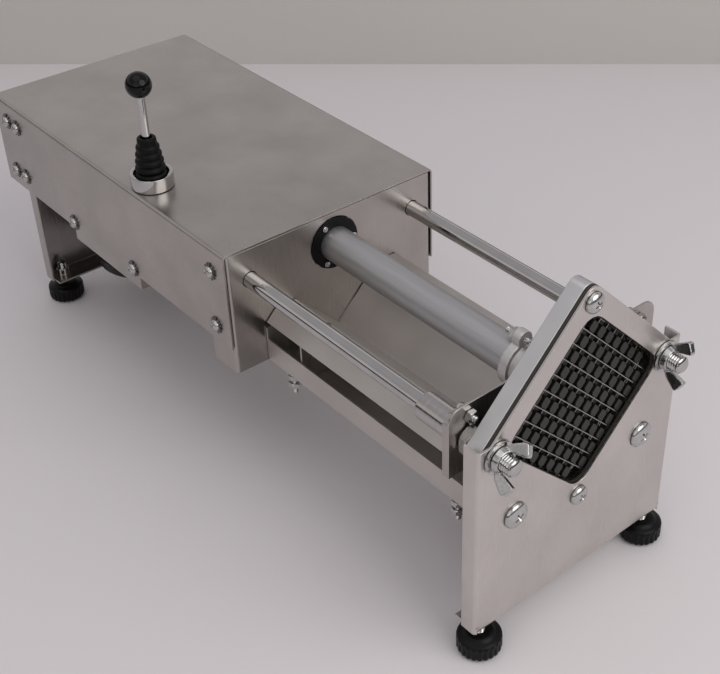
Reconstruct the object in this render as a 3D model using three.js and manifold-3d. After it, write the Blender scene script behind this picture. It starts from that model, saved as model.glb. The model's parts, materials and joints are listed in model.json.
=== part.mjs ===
// Electric french fry cutter: a push tube driven by a screw presses a finger block through a
// square blade grid held behind the front panel. Millimetres, +Z up, +X towards the blades.
import * as THREE from 'three';
import { mergeVertices } from 'three/addons/utils/BufferGeometryUtils.js';
import Module from 'manifold-3d';

const wasm = await Module();
wasm.setup();

// Driving dimensions
const seat = 0.3; // gap kept between pieces that touch
const runGap = 0.08; // radial gap of a running fit
const overrun = 1; // how far a cut runs past the face it opens
const grid = 1 / 1024; // places keep to this grid, so faces that share a plane share it exactly
const sink = 0.2; // how far joined forms run into each other
const round = 16; // sides of a round piece
const fine = 24; // sides of a large round piece
const small = 12; // sides of a thin bolt or hole

const chipSide = 9; // one chip, which is the pitch of the blades
const chipsAcross = 9;
const bladeThickness = 0.6;
const bladeDepth = 4;
const bladeRimWidth = 1.6;
const fingerSide = 5.7;
const fingerChamfer = 1.3;
const windowCorner = 10;
const windowMargin = 0.5; // room round the finger block in the window

const axisHeight = 139; // of the push tube, the rods and the window
const floorGap = 19; // floor to the legs' lower edges
const sheet = 1.5; // panels and legs
const coverSheet = 1.2;
const bendRadius = 2.5;

const panelX = 240.4; // front face of the front panel
const panelHalfWidth = 75;
const panelFlange = 11;
const footFlange = 18;
const shoulderHeight = 147;
const diamondHalfDiagonal = 74.4;
const diamondCorner = 6;
const sealThickness = 1.6;
const headThickness = 10;

const rodRadius = 5;
const rodSpacing = 124; // between the two guide rods
const studReach = 13.2; // rod end in front of the panel
const rodTail = 14; // rod behind the bulkhead's front face

const tubeRadius = 11;
const tubeBore = 8.6;
const tubeInHousing = 26; // push tube's rear end behind the bulkhead's front face
const pusherX = 219.5; // front face of the pusher plate with the fingers through the blades
const plateHalfWidth = 75.5;
const plateBottom = 118;
const plateTop = 160;
const plateCorner = 8;
const plateFlange = 5;
const fingerLength = 8.8;
const fingerBaseThickness = 11;
const tubeFlangeInset = 28; // rear face of the cast flange behind the plate's rear face
const tubeFlangeThickness = 6;
const tubeFlangeRadius = 14.6;
const tubeBossRadius = 12.4;
const tubeSocketDepth = 12;
const flangeLugRadius = 5.2;
const flangeStudRadius = 2;
const flangeStudTail = 8; // bolt ends behind the flange and beyond the plate
const flangeStudReach = 6;
const flangeNut = { flats: 7, height: 3.2 };
const flangeBoltReach = 16; // from the axis to either bolt of the flange
const bushingRadius = 8;
const bushingLength = 31;
const bushingFlange = 2.5;

const bulkheadX = 31; // front face of the bulkhead
const bulkheadHalfWidth = 77.5;
const bulkheadBottom = 77;
const bulkheadFlange = 24;

const coverTop = 161;
const coverHalfWidth = 79.2;
const coverBottom = 95.5;
const coverRearX = -253.6;
const sideGap = 0.4; // between the cover's inner face and the flanges in it

const rearLegX = -232.6; // front face of the rear legs' plate
const rearLegHalfWidth = 77;
const rearLegFlange = 11.5;
const rearCoverInset = 1.9; // rear cover's outer face inside the cover's edge
const rearCoverFlange = 15;

const troughHalf = 41.6; // from the axis to either wall of the V
const troughSheet = 1;
const ledgeHeight = 112;
const ledgeReach = 47;
const lipDrop = 7;

const railY = 54.8; // outer faces of the rails
const railSheet = 1.2;
const railBottom = 77.5;
const railTop = 92.8;
const railFlange = 26;
const railTabInner = 40;
const railTabTop = 101;
const saddleBoltX = [57.1, 205.1];
const saddleBoltY = 49;
const panelScrewY = 48.2;
const panelScrewZ = 91.6;

const frontFootX = 234.7;
const rearFootX = -225.6;
const frontFootInset = 9; // foot centres from the leg plates' sides
const rearFootInset = 11;
const frontFootY = panelHalfWidth - frontFootInset;
const rearFootY = rearLegHalfWidth - rearFootInset;
const knobRadius = 12.8;
const knobHeight = 13.5;
const knobFlutes = 16;
const studRadius = 3;
const studTop = 30;

const leverX = -68;
const leverInset = 15.6; // from the cover's near side
const leverY = -(coverHalfWidth - leverInset);
const collarRadius = 14.1;
const collarBore = 11.4;
const collarHeight = 9;
const leverPivotHeight = coverTop + 3;
const leverRadius = 2.6;
const pivotRadius = 3.4; // of the ball that the lever tilts on
const ballRadius = 8;
const ballSides = 20;
const bootReach = 29; // of the boot above the cover
const bareLever = 38; // from the boot's top to the ball's centre
const bootTop = coverTop + bootReach;
const ballHeight = bootTop + bareLever;
const bootBaseRadius = 10.6;
const bootTopRibRadius = 6.1;
const bootNeckRadius = 4.5;
const bootRibs = 5;
const bootRibDepth = 1.5;
const bootRibCrestShare = 0.55; // where a rib's crest stands in its pitch
const switchRadius = 12;
const switchDepth = 40;

const ringRadius = 17.2; // end cap of the drive tube
const outerTubeRadius = 17.2;
const outerTubeBore = 14.4;
const gearboxX = -179.6; // centre of the worm wheel
const gearboxLength = 44;
const wormOffset = 20.3;
const motorRadius = 33;
const motorBottom = 37.5;
const motorTop = 118.4;
const screwRadius = 6;

const trayRearX = -162.6;
const trayFrontX = -77.6;
const trayBottom = 84;
const trayWallTop = 112;

// Geometry to solid and back
function solid(geometry) {
  const bare = geometry.clone();
  bare.deleteAttribute('normal');
  bare.deleteAttribute('uv');
  const places = bare.attributes.position.array;
  for (let i = 0; i < places.length; i += 1) places[i] = Math.round(places[i] / grid) * grid;
  const merged = mergeVertices(bare, grid / 2);
  const vertProperties = new Float32Array(merged.attributes.position.array);
  const triVerts = new Uint32Array(merged.index.array);
  return new wasm.Manifold(new wasm.Mesh({ numProp: 3, vertProperties, triVerts }));
}

function toGeometry(body) {
  const out = body.getMesh();
  const geometry = new THREE.BufferGeometry();
  geometry.setAttribute('position', new THREE.BufferAttribute(new Float32Array(out.vertProperties), 3));
  geometry.setIndex(new THREE.BufferAttribute(new Uint32Array(out.triVerts), 1));
  geometry.computeVertexNormals();
  return geometry;
}

function join(...bodies) {
  return bodies.reduce((all, body) => all.add(body));
}

function cut(body, ...tools) {
  return tools.reduce((left, tool) => left.subtract(tool), body);
}

// A block between two corners
function block(x0, x1, y0, y1, z0, z1) {
  const geometry = new THREE.BoxGeometry(x1 - x0, y1 - y0, z1 - z0);
  return solid(geometry.translate((x0 + x1) / 2, (y0 + y1) / 2, (z0 + z1) / 2));
}

// A closed outline extruded along one axis. Along X the outline is (y, z), along Y (x, z), along Z (x, y).
function prism(outline, axis, from, to, holes = []) {
  const shape = new THREE.Shape(outline.map(([a, b]) => new THREE.Vector2(a, b)));
  shape.holes.push(...holes);
  const depth = to - from;
  const geometry = new THREE.ExtrudeGeometry(shape, { depth, bevelEnabled: false, curveSegments: 6 });
  if (axis === 'x') geometry.rotateX(Math.PI / 2).rotateZ(Math.PI / 2).translate(from, 0, 0);
  if (axis === 'y') geometry.rotateX(Math.PI / 2).translate(0, to, 0);
  if (axis === 'z') geometry.translate(0, 0, from);
  return solid(geometry);
}

// A profile of (radius, distance) pairs turned about an axis that runs along X or Z
function turned(profile, axis, a, b, sides = round) {
  const points = profile.map(([r, d]) => new THREE.Vector2(r, d));
  const geometry = new THREE.LatheGeometry(points, sides);
  if (axis === 'x') geometry.rotateZ(-Math.PI / 2).translate(0, a, b);
  if (axis === 'z') geometry.rotateX(Math.PI / 2).translate(a, b, 0);
  return solid(geometry);
}

function bar(radius, axis, from, to, a, b, sides = round) {
  return turned([[0, from], [radius, from], [radius, to], [0, to]], axis, a, b, sides);
}

function pipe(radius, bore, axis, from, to, a, b, sides = round) {
  return turned([[bore, from], [radius, from], [radius, to], [bore, to], [bore, from]], axis, a, b, sides);
}

// Bore radius in which a round piece of so many sides turns freely
function turningBore(radius, sides = round) {
  return radius / Math.cos(Math.PI / sides) + runGap;
}

// A six-sided nut with two flats level
function nut(flats, axis, from, to, a, b, turn = 0) {
  const corner = flats / 2 / Math.cos(Math.PI / 6);
  const points = [];
  for (let i = 0; i < 6; i += 1) {
    const angle = turn + i * Math.PI / 3;
    points.push([a + corner * Math.cos(angle), b + corner * Math.sin(angle)]);
  }
  return prism(points, axis, from, to);
}

// A rectangle with rounded corners, turned by an angle about its centre
function roundedSquare(half, corner, centreY, centreZ, turn) {
  const points = [];
  const steps = 4;
  for (let quarter = 0; quarter < 4; quarter += 1) {
    for (let i = 0; i <= steps; i += 1) {
      const angle = (quarter + i / steps) * Math.PI / 2;
      const sideY = quarter === 0 || quarter === 3 ? 1 : -1;
      const sideZ = quarter < 2 ? 1 : -1;
      const y = sideY * (half - corner) + corner * Math.cos(angle);
      const z = sideZ * (half - corner) + corner * Math.sin(angle);
      points.push([
        centreY + y * Math.cos(turn) - z * Math.sin(turn),
        centreZ + y * Math.sin(turn) + z * Math.cos(turn),
      ]);
    }
  }
  return points;
}

function diamond(half, corner) {
  return roundedSquare(half, corner, 0, axisHeight, Math.PI / 4);
}

// A sheet bent along a line of points, as a closed outline of even thickness.
// The given points are one face; the other lies to the left of the walk.
function sheetOutline(points, thickness) {
  const other = points.map((point, i) => {
    const before = points[Math.max(i - 1, 0)];
    const after = points[Math.min(i + 1, points.length - 1)];
    const here = new THREE.Vector2(...point);
    const first = here.clone().sub(new THREE.Vector2(...before));
    const second = new THREE.Vector2(...after).sub(here);
    if (i === 0) first.copy(second);
    if (i === points.length - 1) second.copy(first);
    first.normalize();
    second.normalize();
    const normalA = new THREE.Vector2(-first.y, first.x);
    const normalB = new THREE.Vector2(-second.y, second.x);
    const middle = normalA.clone().add(normalB).normalize();
    return [
      here.x + middle.x * thickness / middle.dot(normalA),
      here.y + middle.y * thickness / middle.dot(normalA),
    ];
  });
  return [...points, ...other.reverse()];
}

// Points of a rounded corner between two square directions
function bend(centreA, centreB, radius, startAngle, endAngle) {
  const steps = 4;
  const points = [];
  for (let i = 0; i <= steps; i += 1) {
    const angle = startAngle + (endAngle - startAngle) * i / steps;
    points.push([centreA + radius * Math.cos(angle), centreB + radius * Math.sin(angle)]);
  }
  return points;
}

const steel = { color: 0xa8a4a0, roughness: 0.32, metalness: 1 };
const polished = { color: 0xc9c9cb, roughness: 0.15, metalness: 1 };
const aluminium = { color: 0xb4b6ba, roughness: 0.4, metalness: 1 };
const plastic = { color: 0x101012, roughness: 0.5, metalness: 0 };
const rubber = { color: 0x0c0c0d, roughness: 0.75, metalness: 0 };
const castMetal = { color: 0x9a9da1, roughness: 0.55, metalness: 1 };

const group = new THREE.Group();

function piece(name, body, finish) {
  const mesh = new THREE.Mesh(toGeometry(body), new THREE.MeshStandardMaterial(finish));
  mesh.name = name;
  group.add(mesh);
}

const sides = [['near', -1], ['far', 1]];
const rodY = rodSpacing / 2;
const windowHalf = chipSide * chipsAcross / 2 + windowMargin;
const diamondHalf = diamondHalfDiagonal / Math.SQRT2;
const panelBackX = panelX - sheet;
const sealFrontX = panelBackX - seat;
const headFrontX = sealFrontX - sealThickness - seat;
const headBackX = headFrontX - headThickness;

// Front panel: a diamond above a folded leg, with side flanges and a foot flange
// A leg plate folded back at both sides and at the foot; direction is the way the flanges point
function foldedLeg(faceX, halfWidth, top, flange, direction) {
  const turn = direction < 0 ? 1 : -1;
  const inner = faceX + direction * bendRadius;
  const edge = faceX + direction * flange;
  const across = halfWidth - bendRadius;
  const right = bend(inner, across, bendRadius, direction < 0 ? 0 : Math.PI, Math.PI / 2);
  const left = right.map(([x, y]) => [x, -y]).reverse();
  const face = [[edge, halfWidth], ...right.reverse(), ...left.reverse(), [edge, -halfWidth]];
  const walk = turn > 0 ? face.slice().reverse() : face;
  const walls = prism(sheetOutline(walk, sheet), 'z', floorGap, top);
  const low = bend(
    inner, floorGap + bendRadius, bendRadius, direction < 0 ? 0 : Math.PI,
    direction < 0 ? -Math.PI / 2 : Math.PI * 1.5,
  );
  const foot = [[faceX, floorGap + bendRadius * 2], ...low, [faceX + direction * footFlange, floorGap]];
  const footWalk = turn > 0 ? foot.slice().reverse() : foot;
  const inside = halfWidth - sheet - sideGap;
  const toe = prism(sheetOutline(footWalk, sheet), 'y', -inside, inside);
  const notch = block(
    Math.min(faceX, inner) - overrun, Math.max(faceX, inner) + overrun,
    -inside, inside, floorGap - overrun, floorGap + bendRadius,
  );
  return join(cut(walls, notch), toe);
}

function footHole(x, y) {
  return bar(studRadius + seat, 'z', floorGap - overrun, floorGap + sheet + overrun, x, y, small);
}

const weldNutHeight = 5;
const weldNutFlats = 8;
function weldNut(x, y) {
  const top = floorGap + sheet + weldNutHeight;
  const body = nut(weldNutFlats, 'z', floorGap + sheet - sink, top, x, y);
  return cut(body, bar(turningBore(studRadius, small), 'z', floorGap, top + overrun, x, y, small));
}

function withFeet(body, x, y) {
  const holed = cut(body, footHole(x, -y), footHole(x, y));
  return join(holed, weldNut(x, -y), weldNut(x, y));
}

const headScrewReach = 63; // centre of each head screw from the axis
const headScrewRadius = 3;
const panelScrewRadius = 3;

function frontPanel() {
  const leg = foldedLeg(panelX, panelHalfWidth, shoulderHeight, panelFlange, -1);
  const board = prism(diamond(diamondHalf, diamondCorner), 'x', panelBackX, panelX);
  const body = join(leg, board);
  const tools = [prism(diamond(windowHalf, windowCorner), 'x', panelBackX - overrun, panelX + overrun)];
  for (const [, side] of sides) {
    tools.push(bar(rodRadius + seat, 'x', panelBackX - overrun, panelX + overrun, side * rodY, axisHeight));
    tools.push(bar(
      headScrewRadius + seat, 'x', panelBackX - overrun, panelX + overrun, 0,
      axisHeight + side * headScrewReach,
    ));
    tools.push(bar(
      panelScrewRadius + seat, 'x', panelBackX - overrun, panelX + overrun, side * panelScrewY,
      panelScrewZ,
    ));
  }
  return withFeet(cut(body, ...tools), frontFootX, frontFootY);
}
piece('front_panel', frontPanel(), steel);

// Seal sheet between the panel and the head plate, and the thick head plate
const rimHalf = windowHalf + bladeRimWidth;
const rimDepth = bladeDepth + sheet;

function headHoles(from, to) {
  const tools = [];
  for (const [, side] of sides) {
    tools.push(bar(rodRadius + seat, 'x', from - overrun, to + overrun, side * rodY, axisHeight));
    tools.push(bar(
      headScrewRadius + seat, 'x', from - overrun, to + overrun, 0, axisHeight + side * headScrewReach,
    ));
  }
  return tools;
}

function headLayer(from, to) {
  const board = prism(diamond(diamondHalf, diamondCorner), 'x', from, to);
  const opening = prism(diamond(windowHalf, windowCorner), 'x', from - overrun, to + overrun);
  return cut(board, opening, ...headHoles(from, to));
}
piece('seal_sheet', headLayer(sealFrontX - sealThickness, sealFrontX), rubber);
const rimCorner = windowCorner + bladeRimWidth;
const rimPocket = prism(
  diamond(rimHalf + seat, rimCorner + seat), 'x', headFrontX - rimDepth - seat, headFrontX + overrun,
);
piece('head_plate', cut(headLayer(headBackX, headFrontX), rimPocket), aluminium);

// Blade grid: a rim with blades both ways, let into the head plate
function bladeGrid() {
  const back = headFrontX - rimDepth;
  const rim = cut(
    prism(diamond(rimHalf, rimCorner), 'x', back, headFrontX),
    prism(diamond(windowHalf, windowCorner), 'x', back - overrun, headFrontX + overrun),
  );
  const blades = [];
  const middle = (chipsAcross - 1) / 2;
  const length = windowHalf + sink;
  for (let i = 0; i < chipsAcross - 1; i += 1) {
    const offset = (i + 0.5 - middle) * chipSide;
    const stripe = [
      [-length, offset - bladeThickness / 2], [length, offset - bladeThickness / 2],
      [length, offset + bladeThickness / 2], [-length, offset + bladeThickness / 2],
    ];
    for (const turn of [Math.PI / 4, -Math.PI / 4]) {
      const outline = stripe.map(([a, b]) => [
        a * Math.cos(turn) - b * Math.sin(turn),
        axisHeight + a * Math.sin(turn) + b * Math.cos(turn),
      ]);
      blades.push(prism(outline, 'x', headFrontX - bladeDepth, headFrontX));
    }
  }
  return join(rim, ...blades);
}
piece('blade_grid', bladeGrid(), polished);

// Screws in the front panel: two thread into the head plate, two hold the rails
const headScrewHead = 6.5;
const headScrewDome = 3.2;
const panelScrewHead = 7.8;
const panelScrewDome = 3.4;
const panelScrewNut = { flats: 8, height: 4 };
const screwTip = 2; // of the panel screws beyond their nuts
function domedScrew(y, z, headRadius, dome, shank, length) {
  const steps = 3;
  const under = panelX + seat;
  const profile = [[0, under - length], [shank, under - length], [shank, under]];
  for (let i = 0; i < steps; i += 1) {
    const angle = i / steps * Math.PI / 2;
    profile.push([headRadius * Math.cos(angle), under + dome * Math.sin(angle)]);
  }
  profile.push([0, under + dome]);
  return turned(profile, 'x', y, z);
}
const headScrewLength = panelX - headBackX - sheet;
for (const [name, side] of [['bottom', -1], ['top', 1]]) {
  const z = axisHeight + side * headScrewReach;
  piece(
    `head_screw_${name}`,
    domedScrew(0, z, headScrewHead, headScrewDome, headScrewRadius, headScrewLength), polished,
  );
}
for (const [name, side] of sides) {
  const y = side * panelScrewY;
  const nutFront = panelX - sheet - railSheet - 3 * seat;
  const length = panelX - nutFront + panelScrewNut.height + screwTip;
  const screw = domedScrew(y, panelScrewZ, panelScrewHead, panelScrewDome, panelScrewRadius, length);
  const hex = nut(panelScrewNut.flats, 'x', nutFront - panelScrewNut.height, nutFront, y, panelScrewZ);
  piece(`panel_screw_${name}`, join(screw, hex), polished);
}

// Guide rods, with their nuts behind the head plate and washers and wing nuts in front
const rodNutFlats = 16;
const rodNutHeight = 6;
const washerRadius = 9.5;
const washerThickness = 1.5;
const tailNutFlats = 17;
const tailNutHeight = 8;
const wingThickness = 3.6;
const wingHubRadius = 7.3;
const wingHubLength = 3.8;
const wingReach = 20; // past the wings' tips
const wingHubTaper = 0.86; // share of the hub's radius left at its front
// Outline of one wing: distance in front of the panel, and radius from the rod's axis
const wingOutline = [
  [2.6, 6.4], [2.6, 7.2], [5.4, 10.4], [12.2, 14.6], [13.2, 14.5], [16.6, 9.2], [16.2, 8.4],
  [10.4, 6.8], [5.6, 6],
];
const wingAngles = { near: 54, far: 75 };

function wingNut(y, angle) {
  const from = panelX + seat + washerThickness + seat;
  const bore = turningBore(rodRadius);
  const hub = turned([
    [bore, from], [wingHubRadius, from], [wingHubRadius * wingHubTaper, from + wingHubLength],
    [bore, from + wingHubLength], [bore, from],
  ], 'x', y, axisHeight);
  const wing = new THREE.Shape(wingOutline.map(([x, reach]) => new THREE.Vector2(panelX + x, reach)));
  const wings = [];
  for (const turn of [0, Math.PI]) {
    const geometry = new THREE.ExtrudeGeometry(wing, { depth: wingThickness, bevelEnabled: false });
    geometry.translate(0, 0, -wingThickness / 2);
    geometry.rotateX(THREE.MathUtils.degToRad(angle) + turn);
    wings.push(solid(geometry.translate(0, y, axisHeight)));
  }
  const thread = bar(bore, 'x', from - overrun, panelX + wingReach, y, axisHeight);
  return cut(join(hub, ...wings), thread);
}

for (const [name, side] of sides) {
  const y = side * rodY;
  const tail = bulkheadX - rodTail;
  const rod = bar(rodRadius, 'x', tail, panelX + studReach, y, axisHeight);
  const shoulder = bulkheadX - sheet - seat;
  const tailNut = nut(tailNutFlats, 'x', shoulder - tailNutHeight, shoulder, y, axisHeight);
  piece(`guide_rod_${name}`, join(rod, tailNut), polished);
  const nutFront = headBackX - seat;
  const hex = nut(rodNutFlats, 'x', nutFront - rodNutHeight, nutFront, y, axisHeight, Math.PI / 6);
  piece(
    `rod_nut_${name}`,
    cut(
      hex,
      bar(rodRadius + runGap, 'x', nutFront - rodNutHeight - overrun, nutFront + overrun, y, axisHeight),
    ),
    polished,
  );
  piece(
    `rod_washer_${name}`,
    pipe(
      washerRadius, rodRadius + runGap, 'x', panelX + seat, panelX + seat + washerThickness, y,
      axisHeight,
    ),
    polished,
  );
  piece(`wing_nut_${name}`, wingNut(y, wingAngles[name]), polished);
}

// Bulkhead at the front of the housing
const coverInner = coverHalfWidth - coverSheet;
const coverInnerTop = coverTop - coverSheet;
function uFold(faceX, halfWidth, flange, direction, bottom, top) {
  const inner = faceX + direction * bendRadius;
  const edge = faceX + direction * flange;
  const across = halfWidth - bendRadius;
  const right = bend(inner, across, bendRadius, direction < 0 ? 0 : Math.PI, Math.PI / 2).reverse();
  const left = right.map(([x, y]) => [x, -y]).reverse();
  const face = [[edge, halfWidth], ...right, ...left, [edge, -halfWidth]];
  const walk = direction < 0 ? face : face.slice().reverse();
  return prism(sheetOutline(walk.reverse(), sheet), 'z', bottom, top);
}

function bulkhead() {
  const body = uFold(
    bulkheadX, bulkheadHalfWidth, bulkheadFlange, -1, bulkheadBottom, coverInnerTop - sideGap,
  );
  const from = bulkheadX - sheet - overrun;
  const to = bulkheadX + overrun;
  const tools = [bar(ringRadius + seat, 'x', from, to, 0, axisHeight, fine)];
  for (const [, side] of sides) {
    tools.push(bar(rodRadius + seat, 'x', from, to, side * rodY, axisHeight));
  }
  return cut(body, ...tools);
}
piece('bulkhead', bulkhead(), steel);

// Housing cover: a folded channel open at the bottom and at both ends
function housingCover() {
  const across = coverHalfWidth - bendRadius;
  const right = bend(across, coverTop - bendRadius, bendRadius, 0, Math.PI / 2);
  const left = right.map(([y, z]) => [-y, z]).reverse();
  const face = [[coverHalfWidth, coverBottom], ...right, ...left, [-coverHalfWidth, coverBottom]];
  const body = prism(sheetOutline(face, coverSheet), 'x', coverRearX, bulkheadX);
  return cut(
    body,
    bar(collarBore - overrun, 'z', coverTop - coverSheet - overrun, coverTop + overrun, leverX, leverY),
  );
}
piece('housing_cover', housingCover(), steel);

// Rear legs' plate and the rear cover with its inlet
function rearLeg() {
  const body = foldedLeg(rearLegX, rearLegHalfWidth, coverInnerTop - sideGap, rearLegFlange, 1);
  return withFeet(body, rearFootX, rearFootY);
}
piece('rear_leg_panel', rearLeg(), steel);

const rearCoverX = coverRearX + rearCoverInset;
const inletInset = 39.5; // from the bulkhead's far side
const inletY = bulkheadHalfWidth - inletInset;
const inletZ = 128;
const inletHalfWidth = 14;
const inletHalfHeight = 10;
const inletFlange = 4;
const inletFlangeThickness = 5;
const inletDepth = 18;
const socketWall = 2;
function rearCover() {
  const body = uFold(
    rearCoverX, bulkheadHalfWidth, rearCoverFlange, 1, coverBottom, coverInnerTop - sideGap,
  );
  const hole = block(
    rearCoverX - overrun, rearCoverX + sheet + overrun,
    inletY - inletHalfWidth - seat, inletY + inletHalfWidth + seat,
    inletZ - inletHalfHeight - seat, inletZ + inletHalfHeight + seat,
  );
  return cut(body, hole);
}
piece('rear_cover', rearCover(), steel);

function powerInlet() {
  const face = rearCoverX - seat - inletFlangeThickness;
  const flange = block(
    face, face + inletFlangeThickness,
    inletY - inletHalfWidth - inletFlange, inletY + inletHalfWidth + inletFlange,
    inletZ - inletHalfHeight - inletFlange, inletZ + inletHalfHeight + inletFlange,
  );
  const shell = block(
    face + inletFlangeThickness - sink, face + inletDepth, inletY - inletHalfWidth, inletY + inletHalfWidth,
    inletZ - inletHalfHeight, inletZ + inletHalfHeight,
  );
  const socket = block(
    face - overrun, face + inletDepth - socketWall,
    inletY - inletHalfWidth + socketWall, inletY + inletHalfWidth - socketWall,
    inletZ - inletHalfHeight + socketWall, inletZ + inletHalfHeight - socketWall,
  );
  return cut(join(flange, shell), socket);
}
piece('power_inlet', powerInlet(), plastic);

// Trough: a V with ledges and turned-down lips, from the bulkhead to the head plate
const bladeEnd = headBackX - seat;
function troughFace() {
  const bottom = axisHeight - troughHalf * Math.SQRT2;
  const ledgeInner = ledgeHeight - bottom;
  const half = [
    [ledgeInner, ledgeHeight], [ledgeReach, ledgeHeight], [ledgeReach + lipDrop, ledgeHeight - lipDrop],
  ];
  const other = half.map(([y, z]) => [-y, z]).reverse();
  return [...other, [0, bottom], ...half];
}
const troughRear = bulkheadX + 2 * seat;
function troughBody() {
  const walk = troughFace().reverse();
  return prism(sheetOutline(walk, troughSheet), 'x', troughRear, bladeEnd);
}
piece('trough', troughBody(), steel);

const saddleBoltRadius = 2;

// Rails: angles with a tab at each end, screwed to the panel and the bulkhead
for (const [name, side] of sides) {
  const outer = side * railY;
  const span = (a, b) => [Math.min(a, b), Math.max(a, b)];
  const front = panelBackX - seat;
  const rear = bulkheadX + seat;
  const web = block(rear, front, ...span(outer, outer - side * railSheet), railBottom, railTop);
  const lower = block(
    rear, front, ...span(outer, outer - side * railFlange), railBottom, railBottom + railSheet,
  );
  const tab = (x0, x1) => block(x0, x1, ...span(outer, side * railTabInner), railBottom, railTabTop);
  const body = join(web, lower, tab(front - railSheet, front), tab(rear, rear + railSheet));
  const tools = [bar(
    panelScrewRadius + seat, 'x', front - sheet - overrun, front + overrun, side * panelScrewY,
    panelScrewZ,
  )];
  for (const x of saddleBoltX) {
    tools.push(bar(
      saddleBoltRadius + seat, 'z', railBottom - overrun, railBottom + railSheet + overrun, x,
      side * saddleBoltY, small,
    ));
  }
  piece(`rail_${name}`, cut(body, ...tools), steel);
}
// Saddles: cross plates with a V that carry the trough, with their hanging bolts
const saddleFlange = 16;
const saddleNut = { flats: 7, height: 3.2 };
const saddleBoltHang = 8; // bolt end below the saddle's floor
function saddle(boltX) {
  const webX = boltX + saddleFlange / 2;
  const floorTop = railBottom - seat;
  const floorBottom = floorTop - sheet;
  const halfWidth = railY - railSheet - seat;
  const top = ledgeHeight - troughSheet - seat;
  const notchBottom = axisHeight - (troughHalf + troughSheet + seat) * Math.SQRT2;
  const web = block(webX - sheet, webX, -halfWidth, halfWidth, floorBottom, top);
  const floor = block(webX - saddleFlange, webX, -halfWidth, halfWidth, floorBottom, floorTop);
  const reach = top + overrun - notchBottom;
  const valley = prism(
    [[0, notchBottom], [reach, top + overrun], [-reach, top + overrun]], 'x', webX - sheet - overrun,
    webX + overrun,
  );
  const lipLine = ledgeReach + ledgeHeight - (troughSheet + seat) * Math.SQRT2;
  const tools = [valley];
  const bolts = [];
  for (const [, side] of sides) {
    const inner = side * (railY - railFlange - seat);
    const outer = side * (halfWidth + overrun);
    tools.push(block(
      webX - sheet - overrun, webX + overrun, Math.min(inner, outer), Math.max(inner, outer), floorTop,
      railBottom + railSheet + seat,
    ));
    const corner = [
      [side * (lipLine - top - overrun), top + overrun], [side * (halfWidth + overrun), top + overrun],
      [side * (halfWidth + overrun), lipLine - halfWidth - overrun],
    ];
    tools.push(prism(corner, 'x', webX - sheet - overrun, webX + overrun));
    const y = side * saddleBoltY;
    bolts.push(bar(
      saddleBoltRadius, 'z', floorBottom - saddleBoltHang, floorBottom + sink, boltX, y, small,
    ));
    bolts.push(nut(saddleNut.flats, 'z', floorBottom - saddleNut.height, floorBottom + sink, boltX, y));
  }
  return join(cut(join(web, floor), ...tools), ...bolts);
}
piece('saddle_rear', saddle(saddleBoltX[0]), steel);
piece('saddle_front', saddle(saddleBoltX[1]), steel);

// Pusher: plate, finger block, bushings, plate bolts and the push tube with its cast flange
const plateBolt = { y: rodY, z: 152.4, radius: 2, flats: 7, height: 3.2, tip: 2, head: 3, headRadius: 3.6 };
function pusherPlate() {
  const back = pusherX - sheet;
  const top = bend(plateHalfWidth - plateCorner, plateTop - plateCorner, plateCorner, 0, Math.PI / 2);
  const outline = [
    [-plateHalfWidth, plateBottom], [plateHalfWidth, plateBottom], ...top,
    ...top.map(([y, z]) => [-y, z]).reverse(),
  ];
  const board = prism(outline, 'x', back, pusherX);
  const flanges = sides.map(([, side]) => {
    const outer = side * plateHalfWidth;
    const inner = side * (plateHalfWidth - sheet);
    return block(
      pusherX - plateFlange, pusherX - sink, Math.min(outer, inner), Math.max(outer, inner),
      plateBottom, plateTop - plateCorner,
    );
  });
  const tools = [];
  for (const [, side] of sides) {
    tools.push(bar(rodRadius + seat * 2, 'x', back - overrun, pusherX + overrun, side * rodY, axisHeight));
    tools.push(bar(
      plateBolt.radius + seat, 'x', back - overrun, pusherX + overrun, side * plateBolt.y, plateBolt.z,
      small,
    ));
  }
  for (const place of flangeBolts) {
    tools.push(bar(flangeStudRadius + seat, 'x', back - overrun, pusherX + overrun, ...place, small));
  }
  return cut(join(board, ...flanges), ...tools);
}
const flangeBolts = sides.map(([, up]) => [0, axisHeight + up * flangeBoltReach]);
piece('pusher_plate', pusherPlate(), steel);

function fingerBlock() {
  const back = pusherX + seat;
  const front = back + fingerBaseThickness;
  const fingers = [prism(diamond(windowHalf - windowMargin, windowCorner), 'x', back, front)];
  const middle = (chipsAcross - 1) / 2;
  const half = fingerSide / 2;
  const near = half - fingerChamfer;
  const corners = [
    [half, near], [near, half], [-near, half], [-half, near], [-half, -near], [-near, -half],
    [near, -half], [half, -near],
  ];
  const turn = Math.PI / 4;
  for (let i = -middle; i <= middle; i += 1) {
    for (let j = -middle; j <= middle; j += 1) {
      const atCorner = Math.abs(i) === middle && Math.abs(j) === middle;
      if (atCorner) continue;
      const outline = corners.map(([a, b]) => {
        const y = i * chipSide + a;
        const z = j * chipSide + b;
        return [
          y * Math.cos(turn) - z * Math.sin(turn), axisHeight + y * Math.sin(turn) + z * Math.cos(turn),
        ];
      });
      fingers.push(prism(outline, 'x', front - sink, front + fingerLength));
    }
  }
  const holeEnd = back + fingerBaseThickness - sheet;
  const holes = flangeBolts.map((place) => (
    bar(flangeStudRadius + seat, 'x', back - overrun, holeEnd, ...place, small)
  ));
  return cut(join(...fingers), ...holes);
}
piece('finger_block', fingerBlock(), plastic);

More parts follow.
